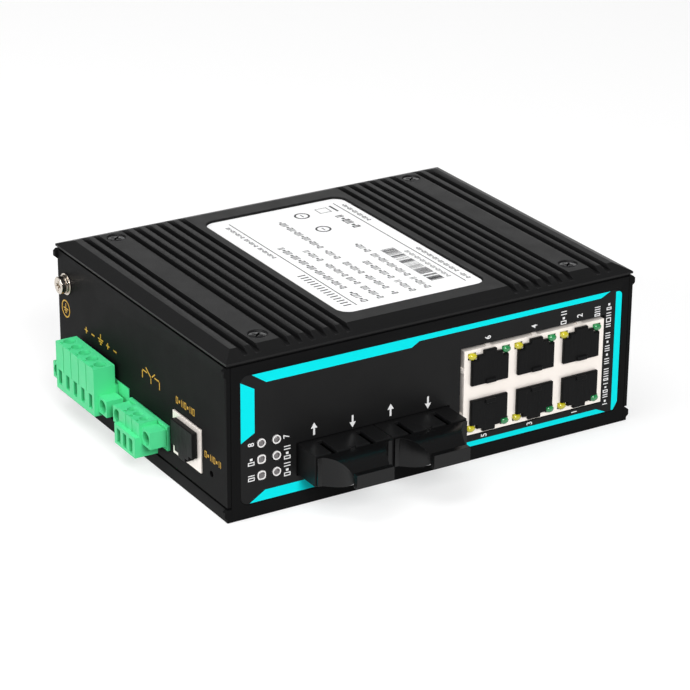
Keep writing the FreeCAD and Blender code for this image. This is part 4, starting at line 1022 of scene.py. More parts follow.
@dataclass
class FrontPrint:
    """Cyan frame stripes, white marks and port numbers on the front film, in millimetres.

    Attributes:
        stripe_low: Lower edge of the bottom stripe.
        stripe_high: Upper edge of the top stripe.
        thick: Height of the stripes' thick part.
        thin: Height of their thin part.
        step: Where the thick part ends.
        step_run: How far the step slopes.
        tip: Where the stripes' points end.
        tip_run: How far the points slope.
        top_start: Where the top stripe's outer and inner edges start.
        bottom_start: Where the bottom stripe's outer and inner edges start.
        left: The left stripe's sides.
        left_levels: The levels of its four corners, around from its foot.
        right: The right stripe's sides.
        foot: The level of the right stripe's foot, its width, and where its cut corner ends.
        corner: The right stripe's rounded corner, its radius and its middle's height.
        arrows: Each arrow's place on X, and 1 for up or -1 for down.
        arrow_level: The arrows' height on the film.
        arrow_reach: How far the head's foot, the tail and the tip lie from that height.
        arrow_half: Half the width of the arrows' stems and of their heads.
    """

    stripe_low: float = 4.5
    stripe_high: float = 43.65
    thick: float = 3.1
    thin: float = 1.6
    step: float = -8.7
    step_run: float = 2.6
    tip: float = 61.0
    tip_run: float = 3.4
    top_start: Point = (-60.9, -56.3)
    bottom_start: Point = (-61.8, -56.8)
    left: Point = (-64.5, -60.1)
    left_levels: tuple[float, ...] = (23.5, 25.9, 39.3, 41.9)
    right: Point = (63.1, 65.25)
    foot: Place = (4.6, 0.7, 7.0)
    corner: Point = (1.3, 41.8)
    arrows: tuple[tuple[float, int], ...] = ((-40.9, 1), (-28.2, -1), (-15.5, 1), (-2.8, -1))
    arrow_level: float = 22.4
    arrow_reach: Place = (0.5, -1.6, 2.2)
    arrow_half: Point = (0.3, 1.05)

    def build(self) -> None:
        """Prints the stripes, the marks and the numbers."""
        dress("front_overlay", PANEL_FILM)
        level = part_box("front_overlay")[0].y
        stripes = Print("front_stripes", Axis.Y, level, -1, CYAN_INK)
        stripes.area(self.long_stripe(self.stripe_high, -1, *self.top_start))
        stripes.area(self.long_stripe(self.stripe_low, 1, *self.bottom_start))
        stripes.area(zip((*self.left, *reversed(self.left)), self.left_levels))
        stripes.area(self.right_side())
        stripes.build()
        marks = Print("front_marks", Axis.Y, level, -1, WHITE_INK)
        for row in self.rows():
            row.draw(marks)
        for place, way in self.arrows:
            self.arrow(marks, place, way)
        marks.build()
        Numerals(level).build()

    def long_stripe(self, edge: float, way: int, start: float, slope: float) -> list[Point]:
        """Draws the top or the bottom stripe.

        Args:
            edge: The stripe's outer edge.
            way: 1 where it thickens upwards, -1 where it thickens downwards.
            start: Where its outer edge starts.
            slope: Where its inner edge starts.

        Returns:
            Its outline.
        """
        thick, thin = edge + way * self.thick, edge + way * self.thin
        return [(start, edge), (slope, thick), (self.step, thick),
                (self.step + self.step_run, thin), (self.tip - self.tip_run, thin),
                (self.tip, edge)]

    def right_side(self) -> list[Point]:
        """Draws the right stripe, with a rounded top corner and a cut bottom corner.

        Returns:
            Its outline.
        """
        inner, outer = self.right
        foot, wide, cut = self.foot
        radius, level = self.corner
        corner = [(outer - radius + radius * math.cos(turn), level + radius * math.sin(turn))
                  for turn in (0.0, 0.4, 0.8, 1.2, math.pi / 2)]
        return [(inner, foot), (inner + wide, foot), (outer, cut), *corner,
                (inner, level + radius)]

    @staticmethod
    def rows() -> list[WordRow]:
        """Sets rows of plain figures at the places of the printed words.

        Returns:
            The rows.
        """
        title = (0.3, 1.0, 1.0, 1.0, 0.8, 0.6, 0.8, 0.3, 1.0, 0.3, -0.5, 1.0, 0.6, 1.0, 1.0,
                 0.6, 1.0, 1.0, 0.6, -0.5, 1.0, 1.5, 0.3, 0.6, 0.9, 1.0)
        short = (1.15, 1.0, 1.15)
        rows = (((-60.2, 11.2), 2.1, (1.1, 0.3)), ((-60.2, 16.0), 2.1, (1.1, 1.0)),
                ((-48.6, 10.2), 2.1, short), ((-48.6, 15.4), 2.1, short),
                ((45.3, 36.6), 2.0, short), ((57.5, 36.6), 2.0, (0.9, 0.3, 1.0)))
        return [WordRow((61.6, 7.0), 1.75, title, gap=0.52), *(WordRow(*row) for row in rows)]

    def arrow(self, ink: Print, place: float, way: int) -> None:
        """Adds an arrow over a fibre bore: up out of the one that sends, down into the other.

        Args:
            ink: The print that takes it.
            place: The bore's place on X.
            way: 1 for up, -1 for down.
        """
        neck, tail, tip = (self.arrow_level + way * reach for reach in self.arrow_reach)
        stem, head = self.arrow_half
        ink.bar((place - stem, min(neck, tail)), (place + stem, max(neck, tail)))
        ink.area([(place - head, neck), (place + head, neck), (place, tip)])


@dataclass
class WallPrint:
    """Gold marks on the terminal side: earth, supply poles, relay contact and two rows.

    Places and sizes are in millimetres.

    Attributes:
        face: The wall's face, on X.
        stroke: Width of the drawn lines.
        ring: The middle of the ring around the first earth sign.
        ring_radius: That ring's radius.
        earths: Each earth sign's place, level and size.
        earth_stem: How far an earth sign's stem starts and ends over its top bar.
        earth_bars: Half the lengths of its bars.
        earth_gap: Distance between its bars.
        poles: Each supply pole's place, and whether it is a plus.
        pole_level: The pole signs' level.
        pole_half: Half the length of their strokes.
        pole_gap: The gap between a plus's level stroke and its upright ones.
        legends: Each row's start, height and count of figures.
        contact_foot: The level of the feet of the relay contact's stems.
        stems: Each stem's place and top.
        strokes: The starts and ends of the contact's bars, arm and tip.
    """

    face: float = -69.0
    stroke: float = 0.42
    ring: Point = (47.35, 29.3)
    ring_radius: float = 2.6
    earths: tuple[Place, ...] = ((47.35, 29.4, 0.9), (24.0, 27.6, 1.0))
    earth_stem: Point = (1.8, 0.35)
    earth_bars: Place = (1.7, 1.1, 0.5)
    earth_gap: float = 0.75
    poles: tuple[tuple[float, bool], ...] = (
        (33.6, True), (29.1, False), (19.3, True), (14.6, False))
    pole_level: float = 27.2
    pole_half: float = 1.0
    pole_gap: float = 0.22
    legends: tuple[tuple[Point, float, int], ...] = (
        ((-23.7, 25.6), 2.1, 7), ((-40.5, 15.5), 2.0, 6))
    contact_foot: float = 25.6
    stems: tuple[Point, ...] = ((-3.0, 28.0), (-8.3, 27.3), (-13.6, 28.0))
    strokes: tuple[tuple[Point, Point], ...] = (
        ((-3.2, 28.2), (-6.0, 28.2)), ((-13.4, 28.2), (-10.6, 28.2)),
        ((-8.3, 27.5), (-5.2, 29.6)), ((-10.9, 29.4), (-9.0, 27.9)))

    def build(self) -> None:
        """Prints the marks on the wall."""
        ink = Print("wall_marks", Axis.X, self.face * MM, -1, GOLD_INK)
        ink.ring(self.ring, self.ring_radius, self.stroke)
        for earth in self.earths:
            self.earth(ink, *earth)
        for place, plus in self.poles:
            self.pole(ink, place, plus)
        self.relay(ink)
        for start, tall, count in self.legends:
            WordRow(start, tall, (1.15,) * count, gap=0.5, stroke=0.26, reading=Reading.ACROSS,
                    mirror=-1).draw(ink)
        ink.build()

    def line(self, ink: Print, start: Point, end: Point) -> None:
        """Adds a straight stroke between two points.

        Args:
            ink: The print that takes it.
            start: Its start.
            end: Its end.
        """
        first, last = Vector(start), Vector(end)
        run = last - first
        side = Vector((-run.y, run.x)).normalized() * self.stroke / 2
        ink.area([tuple(spot) for spot in (first + side, first - side, last - side,
                                           last + side)])

    def earth(self, ink: Print, place: float, level: float, size: float) -> None:
        """Adds an earth sign: a stem over three shorter and shorter bars.

        Args:
            ink: The print that takes it.
            place: Its place on Y.
            level: The top bar's level.
            size: Its scale.
        """
        top, foot = (level + reach * size for reach in self.earth_stem)
        self.line(ink, (place, top), (place, foot))
        for step, half in enumerate(self.earth_bars):
            bar = level - self.earth_gap * step * size
            self.line(ink, (place - half * size, bar), (place + half * size, bar))

    def pole(self, ink: Print, place: float, plus: bool) -> None:
        """Adds a supply pole's sign.

        Args:
            ink: The print that takes it.
            place: Its place on Y.
            plus: Whether it is a plus, rather than a minus.
        """
        level, half = self.pole_level, self.pole_half
        self.line(ink, (place - half, level), (place + half, level))
        if plus:
            for way in (1, -1):
                self.line(ink, (place, level + way * self.pole_gap), (place, level + way * half))

    def relay(self, ink: Print) -> None:
        """Adds the relay's change-over contact: three stems, two bars, the arm and its tip.

        Args:
            ink: The print that takes it.
        """
        for place, top in self.stems:
            self.line(ink, (place, top), (place, self.contact_foot))
        for start, end in self.strokes:
            self.line(ink, start, end)


@dataclass
class RatingLabel:
    """White label in the cover's recess, with plain grey rows, rules and a bar pattern.

    Places and sizes are in millimetres.

    Attributes:
        rules: The two rules beside the title row and the foot row, on X.
        rule_half: Half the rules' width.
        rule_ends: Where the rules start and end on Y.
        rings: The two rings' middles.
        ring_size: The rings' radius and the width of their line.
        ring_bar: Half the width and half the length of the bar in each ring.
        row_lift: The ink's thickness.
        word_gap: The gap between a word's figures, as a share of their height.
        word_pitch: The distance between their middles, as a share of their height.
        bar_pitch: Distance between the bar field's lines.
        bar_share: A plain bar's width as a share of that distance.
        bar_widths: The narrowest and the widest bar, as shares of a plain one.
        bar_chance: The share of the lines that carry a bar.
        bar_tall: The bars' length on X.
        bar_count: The field's lines.
        bar_start: The field's first line, on X and Y.
        bar_seed: The seed of the bars' widths and gaps.
    """

    rules: Point = (-17.2, 20.1)
    rule_half: float = 0.17
    rule_ends: Point = (-37.2, 38.2)
    rings: tuple[Point, ...] = ((5.9, 20.3), (5.9, 33.3))
    ring_size: Point = (2.2, 0.6)
    ring_bar: Point = (0.2, 1.0)
    row_lift: float = 0.02
    word_gap: float = 0.2
    word_pitch: float = 0.72
    bar_pitch: float = 0.42
    bar_share: float = 0.55
    bar_widths: Point = (0.45, 1.75)
    bar_chance: float = 0.82
    bar_tall: float = 4.6
    bar_count: float = 68.0
    bar_start: Point = (13.7, -32.1)
    bar_seed: float = 11.0

    def build(self) -> None:
        """Finishes the label's sheet and prints on it."""
        dress("rating_label", LABEL_SHEET)
        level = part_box("rating_label")[1].z
        ink = Print("label_rows", Axis.Z, level, 1, GREY_INK, lift=self.row_lift * MM)
        start, end = self.rule_ends
        for rule in self.rules:
            ink.bar((rule - self.rule_half, start), (rule + self.rule_half, end))
        for middle, tall, stroke, words in self.rows():
            for start, end in words:
                self.word(middle, tall, stroke, start, end).draw(ink)
        self.marks(ink)
        ink.build()
        self.bars(level)

    @staticmethod
    def rows() -> list[tuple[float, float, float, tuple[Point, ...]]]:
        """Lists the label's rows of plain figures.

        Returns:
            Each row's middle on X, height, stroke, and where each of its words runs on Y.
        """
        return [(22.2, 1.35, 0.24, ((-35.9, -31.0), (-29.6, -6.9), (19.8, 36.1))),
                (17.9, 1.35, 0.18, ((-31.9, -7.9),)),
                (15.9, 2.6, 0.55, ((16.5, 28.1),)),
                (7.9, 2.1, 0.34, ((-36.2, -27.2), (-25.2, -5.2), (-2.9, 4.8))),
                (2.7, 2.1, 0.34, ((-36.2, -26.9), (-24.5, -9.2))),
                (-2.9, 2.1, 0.34, ((-35.5, -33.2), (-30.5, -18.5), (-16.9, -6.9), (-3.2, 4.5),
                                   (6.8, 32.1))),
                (-8.3, 2.1, 0.34, ((-36.2, -25.9), (-23.5, -17.9), (-16.5, -4.9), (-2.2, 7.1))),
                (-13.7, 2.2, 0.38, ((-36.2, -27.5), (-24.5, 12.8))),
                (-19.6, 2.6, 0.62, ((-36.2, -8.9),)),
                (-19.2, 1.35, 0.24, ((6.5, 16.0), (17.4, 24.4), (25.8, 35.8)))]

    def word(self, middle: float, tall: float, stroke: float, start: float,
             end: float) -> WordRow:
        """Fills a word's place with even figures.

        Args:
            middle: The row's middle on X.
            tall: Height of the figures.
            stroke: Width of their lines.
            start: Where the word starts on Y.
            end: Where it ends.

        Returns:
            The row.
        """
        gap = self.word_gap * tall
        count = max(1, round((end - start) / (self.word_pitch * tall)))
        width = (end - start - gap * (count - 1)) / count
        return WordRow((middle + tall / 2, start), tall, (width,) * count, gap, stroke)

    def marks(self, ink: Print) -> None:
        """Adds two rings, a short bar and a frame in the label's rear corner.

        Args:
            ink: The print that takes them.
        """
        wide, tall = self.ring_bar
        for spot in self.rings:
            ink.ring(spot, *self.ring_size, steps=28)
            ink.bar((spot[0] - wide, spot[1] - tall), (spot[0] + wide, spot[1] + tall))
        ink.bar((17.5, 31.5), (18.2, 36.8))
        ink.open_frame((12.0, 32.2), (16.15, 36.2), 0.25)

    def bars(self, level: float) -> None:
        """Repeats thin bars of uneven width in a field, with geometry nodes.

        Args:
            level: The label's face, in metres.
        """
        lift = self.row_lift * MM
        tree = Pattern("label_bar_field", {
            "Pitch": self.bar_pitch * MM, "Tall": self.bar_tall * MM, "Count": self.bar_count,
            "Seed": self.bar_seed})
        line = tree.add("GeometryNodeMeshLine", Start_Location=(
            self.bar_start[0] * MM, self.bar_start[1] * MM, level + lift / 2))
        tree.join(tree.whole("Count"), line.inputs["Count"])
        tree.join(tree.vector(Y=tree.inputs["Pitch"]), line.inputs["Offset"])
        bar = tree.add("GeometryNodeMeshCube")
        plain = tree.worked_out("MULTIPLY", tree.inputs["Pitch"], self.bar_share)
        tree.join(tree.vector(X=tree.inputs["Tall"], Y=plain, Z=lift), bar.inputs["Size"])
        seed = tree.whole("Seed")
        width = tree.add("FunctionNodeRandomValue")
        width.data_type = "FLOAT"
        width.inputs[2].default_value, width.inputs[3].default_value = self.bar_widths
        keep = tree.add("FunctionNodeRandomValue")
        keep.data_type = "BOOLEAN"
        keep.inputs["Probability"].default_value = self.bar_chance
        for draw in (width, keep):
            tree.join(seed, draw.inputs["Seed"])
        scale = tree.vector(X=1.0, Y=width.outputs[1], Z=1.0)
        copies = tree.copies(line.outputs["Mesh"], bar.outputs["Mesh"], scale)
        tree.join(keep.outputs[3], copies.inputs["Selection"])
        tree.realise(copies, "label_bars", GREY_INK)


# ------------------------------------------------------------------ ports and lights

@dataclass
class PortBlock:
    """The shielded two-by-three port block with its lights and soft blanking plugs.

    Attributes:
        shell_round: Rounding of the shell's edges.
        plug_round: Rounding of the plugs' moulded rims.
        dome: How far the light guides' domed ends stand out of their blocks' fronts.
    """

    shell_round: float = 0.08 * MM
    plug_round: float = 0.3 * MM
    dome: float = 0.75 * MM

    def build(self) -> None:
        """Finishes the shell, the insert, the contacts, the plugs and the lights."""
        soften("port_block_shield", TIN_SHELL, self.shell_round)
        dress("port_block_body", BLACK_MOULDING)
        dress("port_contacts", GOLD_CONTACT)
        for number in range(1, 7):
            soften("port_%d_dust_plug" % number, BLACK_RUBBER, self.plug_round, segments=3)
        self.lights("port_lights_yellow", YELLOW_LIGHT)
        self.lights("port_lights_green", GREEN_LIGHT)

    def lights(self, node: str, finish: Finish) -> None:
        """Stands domed light guides in the place of a node's plain blocks.

        Args:
            node: The node of blocks.
            finish: What covers them.
        """
        blocks = islands(node)
        shape = self.guide(node + "_one", blocks[0][1] - blocks[0][0])
        spots = [Vector(((low.x + high.x) / 2, low.y, (low.z + high.z) / 2))
                 for low, high in blocks]
        repeat_shape(node + "_domed", shape, spots, Axis.Y, -1, finish, node)

    def guide(self, name: str, size: Vector) -> bpy.types.Mesh:
        """Makes a light guide about the middle of its front: an oval stem that ends in a dome.

        Args:
            name: The mesh's name.
            size: The block that the guide fills.

        Returns:
            The guide's mesh, which faces up its own Z.
        """
        steps = [math.radians(turn) for turn in range(0, 90, 15)]
        arc = [(math.cos(turn), self.dome * math.sin(turn)) for turn in steps]
        mesh = turned(name, [(0.0, -size.y), (1.0, -size.y), *arc, (0.0, self.dome)], 24)
        for vertex in mesh.vertices:
            vertex.co.x *= size.x / 2
            vertex.co.y *= size.z / 2
        return mesh


@dataclass
class StatusLights:
    """Six domed lights in the film, each in a moulded ring; two are squarish.

    Attributes:
        dome: Radius of a light's dome.
        ring: Outer radius of its ring.
        wall: Width of the ring.
        rim: How far the ring's edges stand out of the film, and how wide they are rounded.
        proud: How far the ring's top stands out of the film.
        rise: How far the dome stands out of the film.
        stem: How far dome and ring reach back from the film's face.
        power: Exponent of the squarish outline, where 2 is a circle.
        slack: How far two lights' middles may lie apart in one row or column.
    """

    dome: float = 0.86 * MM
    ring: float = 1.33 * MM
    wall: float = 0.36 * MM
    rim: float = 0.1 * MM
    proud: float = 0.16 * MM
    rise: float = 0.28 * MM
    stem: float = 1.5 * MM
    power: float = 3.2
    slack: float = 1.0 * MM

    def build(self) -> None:
        """Repeats a turned ring and dome over the six lights with geometry nodes."""
        middles = [(low + high) / 2 for low, high in islands("status_light_lenses")]
        left = min(middle.x for middle in middles) + self.slack
        top = max(middle.z for middle in middles) - self.slack
        square = [middle for middle in middles if middle.x < left and middle.z < top]
        round_ones = [middle for middle in middles if middle not in square]
        for kind, places, power in (("round", round_ones, 2.0), ("square", square, self.power)):
            self.repeat("status_light_rings_" + kind, self.ring_profile(), places, power,
                        CLEAR_RING)
            self.repeat("status_light_domes_" + kind, self.dome_profile(), places, power,
                        CLEAR_LIGHT, "status_light_lenses")
        dress("status_light_holders", BLACK_MOULDING)

    def ring_profile(self) -> list[Point]:
        """Draws a low rounded ring.

        Returns:
            Its profile, each point a radius and a height.
        """
        low, high, rim = self.ring - self.wall, self.ring, self.rim
        return [(low, -self.stem), (high, -self.stem), (high, rim), (high - rim, self.proud),
                (low + rim, self.proud), (low, rim), (low, -self.stem)]

    def dome_profile(self) -> list[Point]:
        """Draws a shallow dome on a short stem.

        Returns:
            Its profile, each point a radius and a height.
        """
        arc = [(self.dome * math.cos(turn), self.rise * math.sin(turn))
               for turn in (0.0, 0.3, 0.6, 0.9, 1.2, 1.4)]
        return [(0.0, -self.stem), (self.dome, -self.stem), *arc, (0.0, self.rise)]

    @staticmethod
    def repeat(name: str, profile: list[Point], middles: list[Vector], power: float,
               finish: Finish, node: Optional[str] = None) -> None:
        """Places a turned shape at each light, facing out of the film.

        Args:
            name: The finished piece's name.
            profile: The shape's profile.
            middles: The lights' middles.
            power: Exponent of the outline, 2 for a circle and more towards a square.
            finish: What covers it.
            node: The CAD node that it replaces, where it stands for one.
        """
        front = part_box("front_overlay")[0].y
        shape = turned(name + "_one", profile)
        for vertex in shape.vertices:
            spot = vertex.co
            reach = math.hypot(spot.x, spot.y)
            if reach > 0.0:
                share = abs(spot.x / reach) ** power + abs(spot.y / reach) ** power
                spot.x, spot.y = (part * share ** (-1.0 / power) for part in (spot.x, spot.y))
        spots = [Vector((middle.x, front, middle.z)) for middle in middles]
        repeat_shape(name, shape, spots, Axis.Y, -1, finish, node)


# ------------------------------------------------------------------ fibre ports

@dataclass
class FibrePorts:
    """Two duplex transceivers, each with a soft grip cap in its bores.

    Attributes:
        cap_round: Rounding of the soft caps' edges.
        case_round: Rounding of the moulded cases' edges.
    """

    cap_round: float = 0.32 * MM
    case_round: float = 0.16 * MM

    def build(self) -> None:
        """Finishes the cases, the sleeves and the caps."""
        for number in (1, 2):
            soften("fibre_transceiver_%d" % number, MODULE_PLASTIC, self.case_round)
            soften("fibre_cap_%d" % number, CAP_RUBBER, self.cap_round, segments=3)
            dress("fibre_sleeves_%d" % number, FERRULE)


# ------------------------------------------------------------------ screws and terminals

@dataclass
class Screw:
    """A screw about the origin, its head's top at zero height and its shank below.

    Attributes:
        radius: The head's radius.
        long: The whole screw's length.
        shank: The shank's radius.
        head: The cheese head's height.
        head_edge: How far the cheese head's rim is rounded off.
        slot: The straight slot's width and depth.
        slot_reach: The slot's length in head radii, which cuts it through the rim.
        cross: The cross recess's width and depth.
        cross_reach: How far the cross reaches, as a share of the head's radius.
        cross_turn: How far the cross is turned, in degrees.
        crossed_edge: How far the countersunk head's rim is rounded off.
    """

    radius: float
    long: float
    shank: float = 0.85 * MM
    head: float = 1.5 * MM
    head_edge: float = 0.18 * MM
    slot: Point = (0.55 * MM, 0.6 * MM)
    slot_reach: float = 2.2
    cross: Point = (0.62 * MM, 1.0 * MM)
    cross_reach: float = 0.62
    cross_turn: float = 40.0
    crossed_edge: float = 0.14 * MM

    def slotted(self, name: str) -> bpy.types.Mesh:
        """Makes a cheese head with a rounded rim and a straight slot, on a plain shank.

        Args:
            name: The mesh's name.

        Returns:
            The screw's mesh.
        """
        edge = self.head_edge
        rim = [(0.0, -self.long), (self.shank, -self.long), (self.shank, -self.head),
               (self.radius, -self.head), (self.radius, -edge),
               (self.radius - 0.3 * edge, -0.3 * edge), (self.radius - edge, 0.0), (0.0, 0.0)]
        return carved(turned(name, rim), [(self.radius * self.slot_reach, *self.slot)], 0.0)

    def crossed(self, name: str, deep: float) -> bpy.types.Mesh:
        """Makes a countersunk head with a cross recess, on a plain shank.

        Args:
            name: The mesh's name.
            deep: The depth of the countersunk head.

        Returns:
            The screw's mesh.
        """
        edge = self.crossed_edge
        rim = [(0.0, -self.long), (self.shank, -self.long), (self.shank, -deep),
               (self.radius, -edge), (self.radius - 0.3 * edge, -0.35 * edge),
               (self.radius - 1.2 * edge, 0.0), (0.0, 0.0)]
        arms = 2 * (self.cross_reach * self.radius)
        wide, depth = self.cross
        return carved(turned(name, rim, 36), [(arms, wide, depth), (wide, arms, depth)],
                      self.cross_turn)


@dataclass
class ScrewSet:
    """One CAD node's plain screws, which shaped ones stand in for.

    Attributes:
        node: The node's name.
        axis: The axis that the heads face along.
        way: Which way on that axis.
        finish: What covers the shaped screws.
        sunk: How deep their heads sit below the plain ones' tops.
        screws: The plain screws' boxes.
        size: The first box's sides.
    """

    node: str
    axis: Axis
    way: int
    finish: Finish
    sunk: float = 0.0
    screws: list[Box] = field(init=False)
    size: Vector = field(init=False)

    def __post_init__(self) -> None:
        """Finds the plain screws and the first one's size."""
        self.screws = islands(self.node)
        self.size = self.screws[0][1] - self.screws[0][0]

    def stand_in(self, shape: bpy.types.Mesh, kind: str) -> None:
        """Stands copies of a shaped screw in the plain ones' places.

        Args:
            shape: The shaped screw.
            kind: The word that ends the new piece's name.
        """
        spots = []
        for low, high in self.screws:
            spot = (low + high) / 2
            top = (high if self.way > 0 else low)[self.axis.value]
            spot[self.axis.value] = top - self.way * self.sunk
            spots.append(spot)
        repeat_shape(self.node + kind, shape, spots, self.axis, self.way, self.finish, self.node)


@dataclass
class Terminal:
    """A plug-in screw terminal: green plug and header, clamp screws, cages and pins.

    Attributes:
        kind: The row's name in the model.
        edge: Rounding of the plug's edges.
        header_edge: Rounding of the header's edges.
    """

    kind: str
    edge: float = 0.13 * MM
    header_edge: float = 0.1 * MM

    def build(self) -> None:
        """Finishes the plug, its header and the metal in them."""
        soften(self.kind + "_plug", GREEN_TERMINAL, self.edge)
        soften(self.kind + "_header", GREEN_TERMINAL, self.header_edge)
        dress(self.kind + "_pins", TINNED_PIN)
        dress(self.kind + "_clamp_cages", ZINC_PLATE)
        for node, axis, way in ((self.kind + "_clamp_screws", Axis.Z, 1),
                                (self.kind + "_flange_screws", Axis.X, -1)):
            plain = ScrewSet(node, axis, way, TERMINAL_SCREW)
            screw = Screw(plain.size.y / 2, plain.size[axis.value])
            plain.stand_in(screw.slotted(node + "_one"), "_slotted")


@dataclass
class CoverScrews:
    """Crossed countersunk screws in the two covers and in the rail plate.

    Attributes:
        shank: Radius of their shanks.
        cover_head: Radius of the cover screws' heads.
        plate_head: Radius of the rail plate screws' heads.
        sunk: How deep the heads sit in their countersinks.
    """

    shank: float = 1.5 * MM
    cover_head: float = 2.9 * MM
    plate_head: float = 2.6 * MM
    sunk: float = 0.28 * MM

    def build(self) -> None:
        """Stands crossed screws in the places of the plain ones."""
        for node, axis, way, radius in (("top_cover_screws", Axis.Z, 1, self.cover_head),
                                        ("bottom_cover_screws", Axis.Z, -1, self.cover_head),
                                        ("rail_plate_screws", Axis.Y, 1, self.plate_head)):
            plain = ScrewSet(node, axis, way, BLACK_ZINC, self.sunk)
            screw = Screw(radius - self.sunk, plain.size[axis.value] - self.sunk, self.shank)
            deep = radius - self.shank - self.sunk
            plain.stand_in(screw.crossed(node + "_one", deep), "_crossed")


# ------------------------------------------------------------------ console jack and restart

@dataclass
class ConsoleJack:
    """The shielded console jack on the terminal side, with its blanking plug.

    Attributes:
        shell_round: Rounding of the shell's edges.
        plug_round: Rounding of the plug's moulded rim.
    """

    shell_round: float = 0.08 * MM
    plug_round: float = 0.3 * MM

    def build(self) -> None:
        """Finishes the shell, the insert, the contacts and the plug."""
        soften("console_jack_shield", TIN_SHELL, self.shell_round)
        dress("console_jack_body", BLACK_MOULDING)
        dress("console_contacts", GOLD_CONTACT)
        soften("console_dust_plug", BLACK_RUBBER, self.plug_round, segments=3)


@dataclass
class RestartSwitch:
    """The push switch behind the pinhole in the terminal side."""

    def build(self) -> None:
        """Finishes the switch's case and its plunger."""
        dress("reload_switch_body", BLACK_MOULDING)
        dress("reload_button", CAN_SLEEVE)


@dataclass
class Electronics:
    """The circuit board with the cases that stand on it, and its posts and screws."""

    def build(self) -> None:
        """Finishes each part on the board."""
        for node, finish in (("main_board", SOLDER_MASK), ("board_posts", ZINC_PLATE),
                             ("board_screws", ZINC_PLATE), ("switch_chip", CHIP_EPOXY),
                             ("power_converter", CHIP_EPOXY), ("alarm_relay", RELAY_CASE),
                             ("board_capacitors", CAN_SLEEVE),
                             ("isolation_transformers", BLACK_MOULDING)):
            dress(node, finish)


# ------------------------------------------------------------------ stage

@dataclass
class Lamp:
    """A soft rectangular lamp aimed at the object.

    Attributes:
        name: The lamp's name.
        place: Where it hangs, in metres.
        size: Its sides, in metres.
        power: Its power in watts.
        aim: The point that it is aimed at.
    """

    name: str
    place: Place
    size: Point
    power: float
    aim: Place = (0.0, 0.0, 0.025)

    def build(self) -> None:
        """Hangs the lamp and aims it at the object's middle."""
        data = bpy.data.lights.new(self.name, "AREA")
        data.shape = "RECTANGLE"
        data.size, data.size_y = self.size
        data.energy = self.power
        lamp = linked_object(self.name, data)
        lamp.location = self.place
        ray = Vector(self.aim) - Vector(self.place)
        lamp.rotation_euler = ray.to_track_quat("-Z", "Y").to_euler()


@dataclass
class Camera:
    """A long-lens camera, from the left, above and in front.

    Attributes:
        lens: Its focal length, in millimetres.
        sensor: Its sensor's width, in millimetres.
        place: Where it stands, in metres.
        turns: Its turns about X, Y and Z, in degrees.
        reach: The nearest and the farthest distance that it shows, in metres.
    """

    lens: float = 145.93
    sensor: float = 36.0
    place: Place = (-0.405315, -0.668416, 0.353559)
    turns: Place = (66.8821, -0.36535, -31.1747)
    reach: Point = (0.01, 20.0)

    def build(self) -> None:
        """Sets up the camera as the scene's own."""
        data = bpy.data.cameras.new("camera")
        data.lens = self.lens
        data.sensor_width = self.sensor
        data.clip_start, data.clip_end = self.reach
        camera = linked_object("camera", data)
        camera.location = self.place
        camera.rotation_euler = [math.radians(turn) for turn in self.turns]
        bpy.context.scene.camera = camera


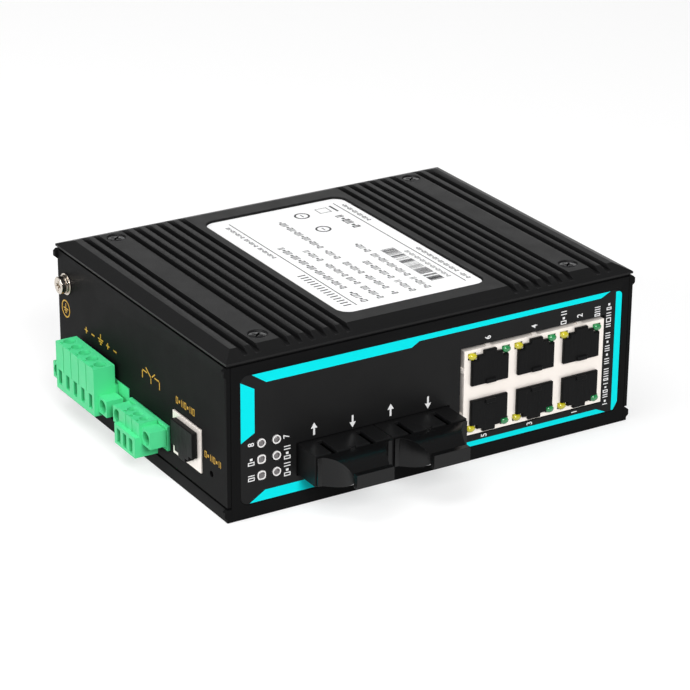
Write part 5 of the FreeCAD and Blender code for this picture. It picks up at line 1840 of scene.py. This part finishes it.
@dataclass
class Stage:
    """Pale floor, soft lamps, plain world and the camera.

    Attributes:
        floor_half: Half the floor's side.
        floor_drop: How far the floor lies below the object's rest.
        floor_tone: The floor's grey as the object's shadow falls on it.
        floor_roughness: The floor's roughness.
        floor_glow: How strongly it glows to the camera, in mirrors and through glass.
        world_level: How strongly the world lights the object.
        lamps: The lamps.
    """

    floor_half: float = 3.0
    floor_drop: float = 0.0002
    floor_tone: float = 0.42
    floor_roughness: float = 0.9
    floor_glow: float = 0.6
    world_level: float = 0.25
    lamps: tuple[Lamp, ...] = (
        Lamp("key_lamp", (-0.25, -1.15, 0.8), (0.6, 0.5), 15.5),
        Lamp("top_lamp", (-0.35, -0.05, 1.15), (0.7, 0.7), 5.2),
        Lamp("side_lamp", (-1.1, 0.1, 0.5), (0.5, 0.5), 7.0),
        Lamp("sheen_lamp", (0.7, 1.25, 0.5), (1.1, 0.4), 1.35))

    def build(self) -> None:
        """Sets the stage."""
        bpy.context.scene.view_settings.view_transform = "Standard"
        self.floor()
        self.world()
        for item in (*self.lamps, Camera()):
            item.build()

    def floor(self) -> None:
        """Lays a pale floor that shows white to the camera and keeps the object's shadow."""
        mesh = bpy.data.meshes.new("floor")
        half = self.floor_half
        rim = corners_of((-half, -half), (half, half))
        mesh.from_pydata([(*spot, 0.0) for spot in rim], [], [(0, 1, 2, 3)])
        plane = linked_object("floor", mesh)
        plane.location.z = -self.floor_drop
        material = bpy.data.materials.new("pale_floor")
        material.use_nodes = True
        shader = material.node_tree.nodes["Principled BSDF"]
        shader.inputs["Base Color"].default_value = (*(self.floor_tone,) * 3, 1.0)
        shader.inputs["Roughness"].default_value = self.floor_roughness
        self.show_white(ShaderTree(material.node_tree), shader)
        mesh.materials.append(material)

    def show_white(self, tree: ShaderTree, shader: bpy.types.Node) -> None:
        """Mixes a glow into the floor for camera, mirror and glass rays.

        Args:
            tree: The floor material's node helper.
            shader: The floor's lit shader.
        """
        path = tree.add("ShaderNodeLightPath").outputs
        seen = path["Is Camera Ray"]
        for ray in ("Is Glossy Ray", "Is Transmission Ray"):
            seen = tree.worked_out("MAXIMUM", seen, path[ray])
        shader.inputs["Emission Color"].default_value = (1.0, 1.0, 1.0, 1.0)
        tree.join(tree.worked_out("MULTIPLY", seen, self.floor_glow),
                  shader.inputs["Emission Strength"])

    def world(self) -> None:
        """Makes a plain world: white to the camera, softer as light."""
        world = bpy.data.worlds.new("studio")
        bpy.context.scene.world = world
        world.use_nodes = True
        tree = ShaderTree(world.node_tree)
        back = world.node_tree.nodes["Background"]
        back.inputs["Color"].default_value = (1.0, 1.0, 1.0, 1.0)
        path = tree.add("ShaderNodeLightPath")
        level = tree.add("ShaderNodeMapRange", To_Min=self.world_level, To_Max=1.0)
        tree.join(path.outputs["Is Camera Ray"], level.inputs["Value"])
        tree.join(level.outputs["Result"], back.inputs["Strength"])


# ------------------------------------------------------------------ the whole switch


def main() -> None:
    """Builds every sub-assembly in order and sets the stage."""
    logging.basicConfig(level=logging.INFO, format="%(message)s")
    for assembly in (Housing(), CoverScrews(), FrontPrint(), WallPrint(), RatingLabel(),
                     PortBlock(), StatusLights(), FibrePorts(), Terminal("power"),
                     Terminal("alarm"), ConsoleJack(), RestartSwitch(), GroundPoint(),
                     RailClip(), Electronics(), Stage()):
        LOG.info("building %s", type(assembly).__name__)
        assembly.build()
        LOG.info("%s done", type(assembly).__name__)


if __name__ == "__main__":
    main()
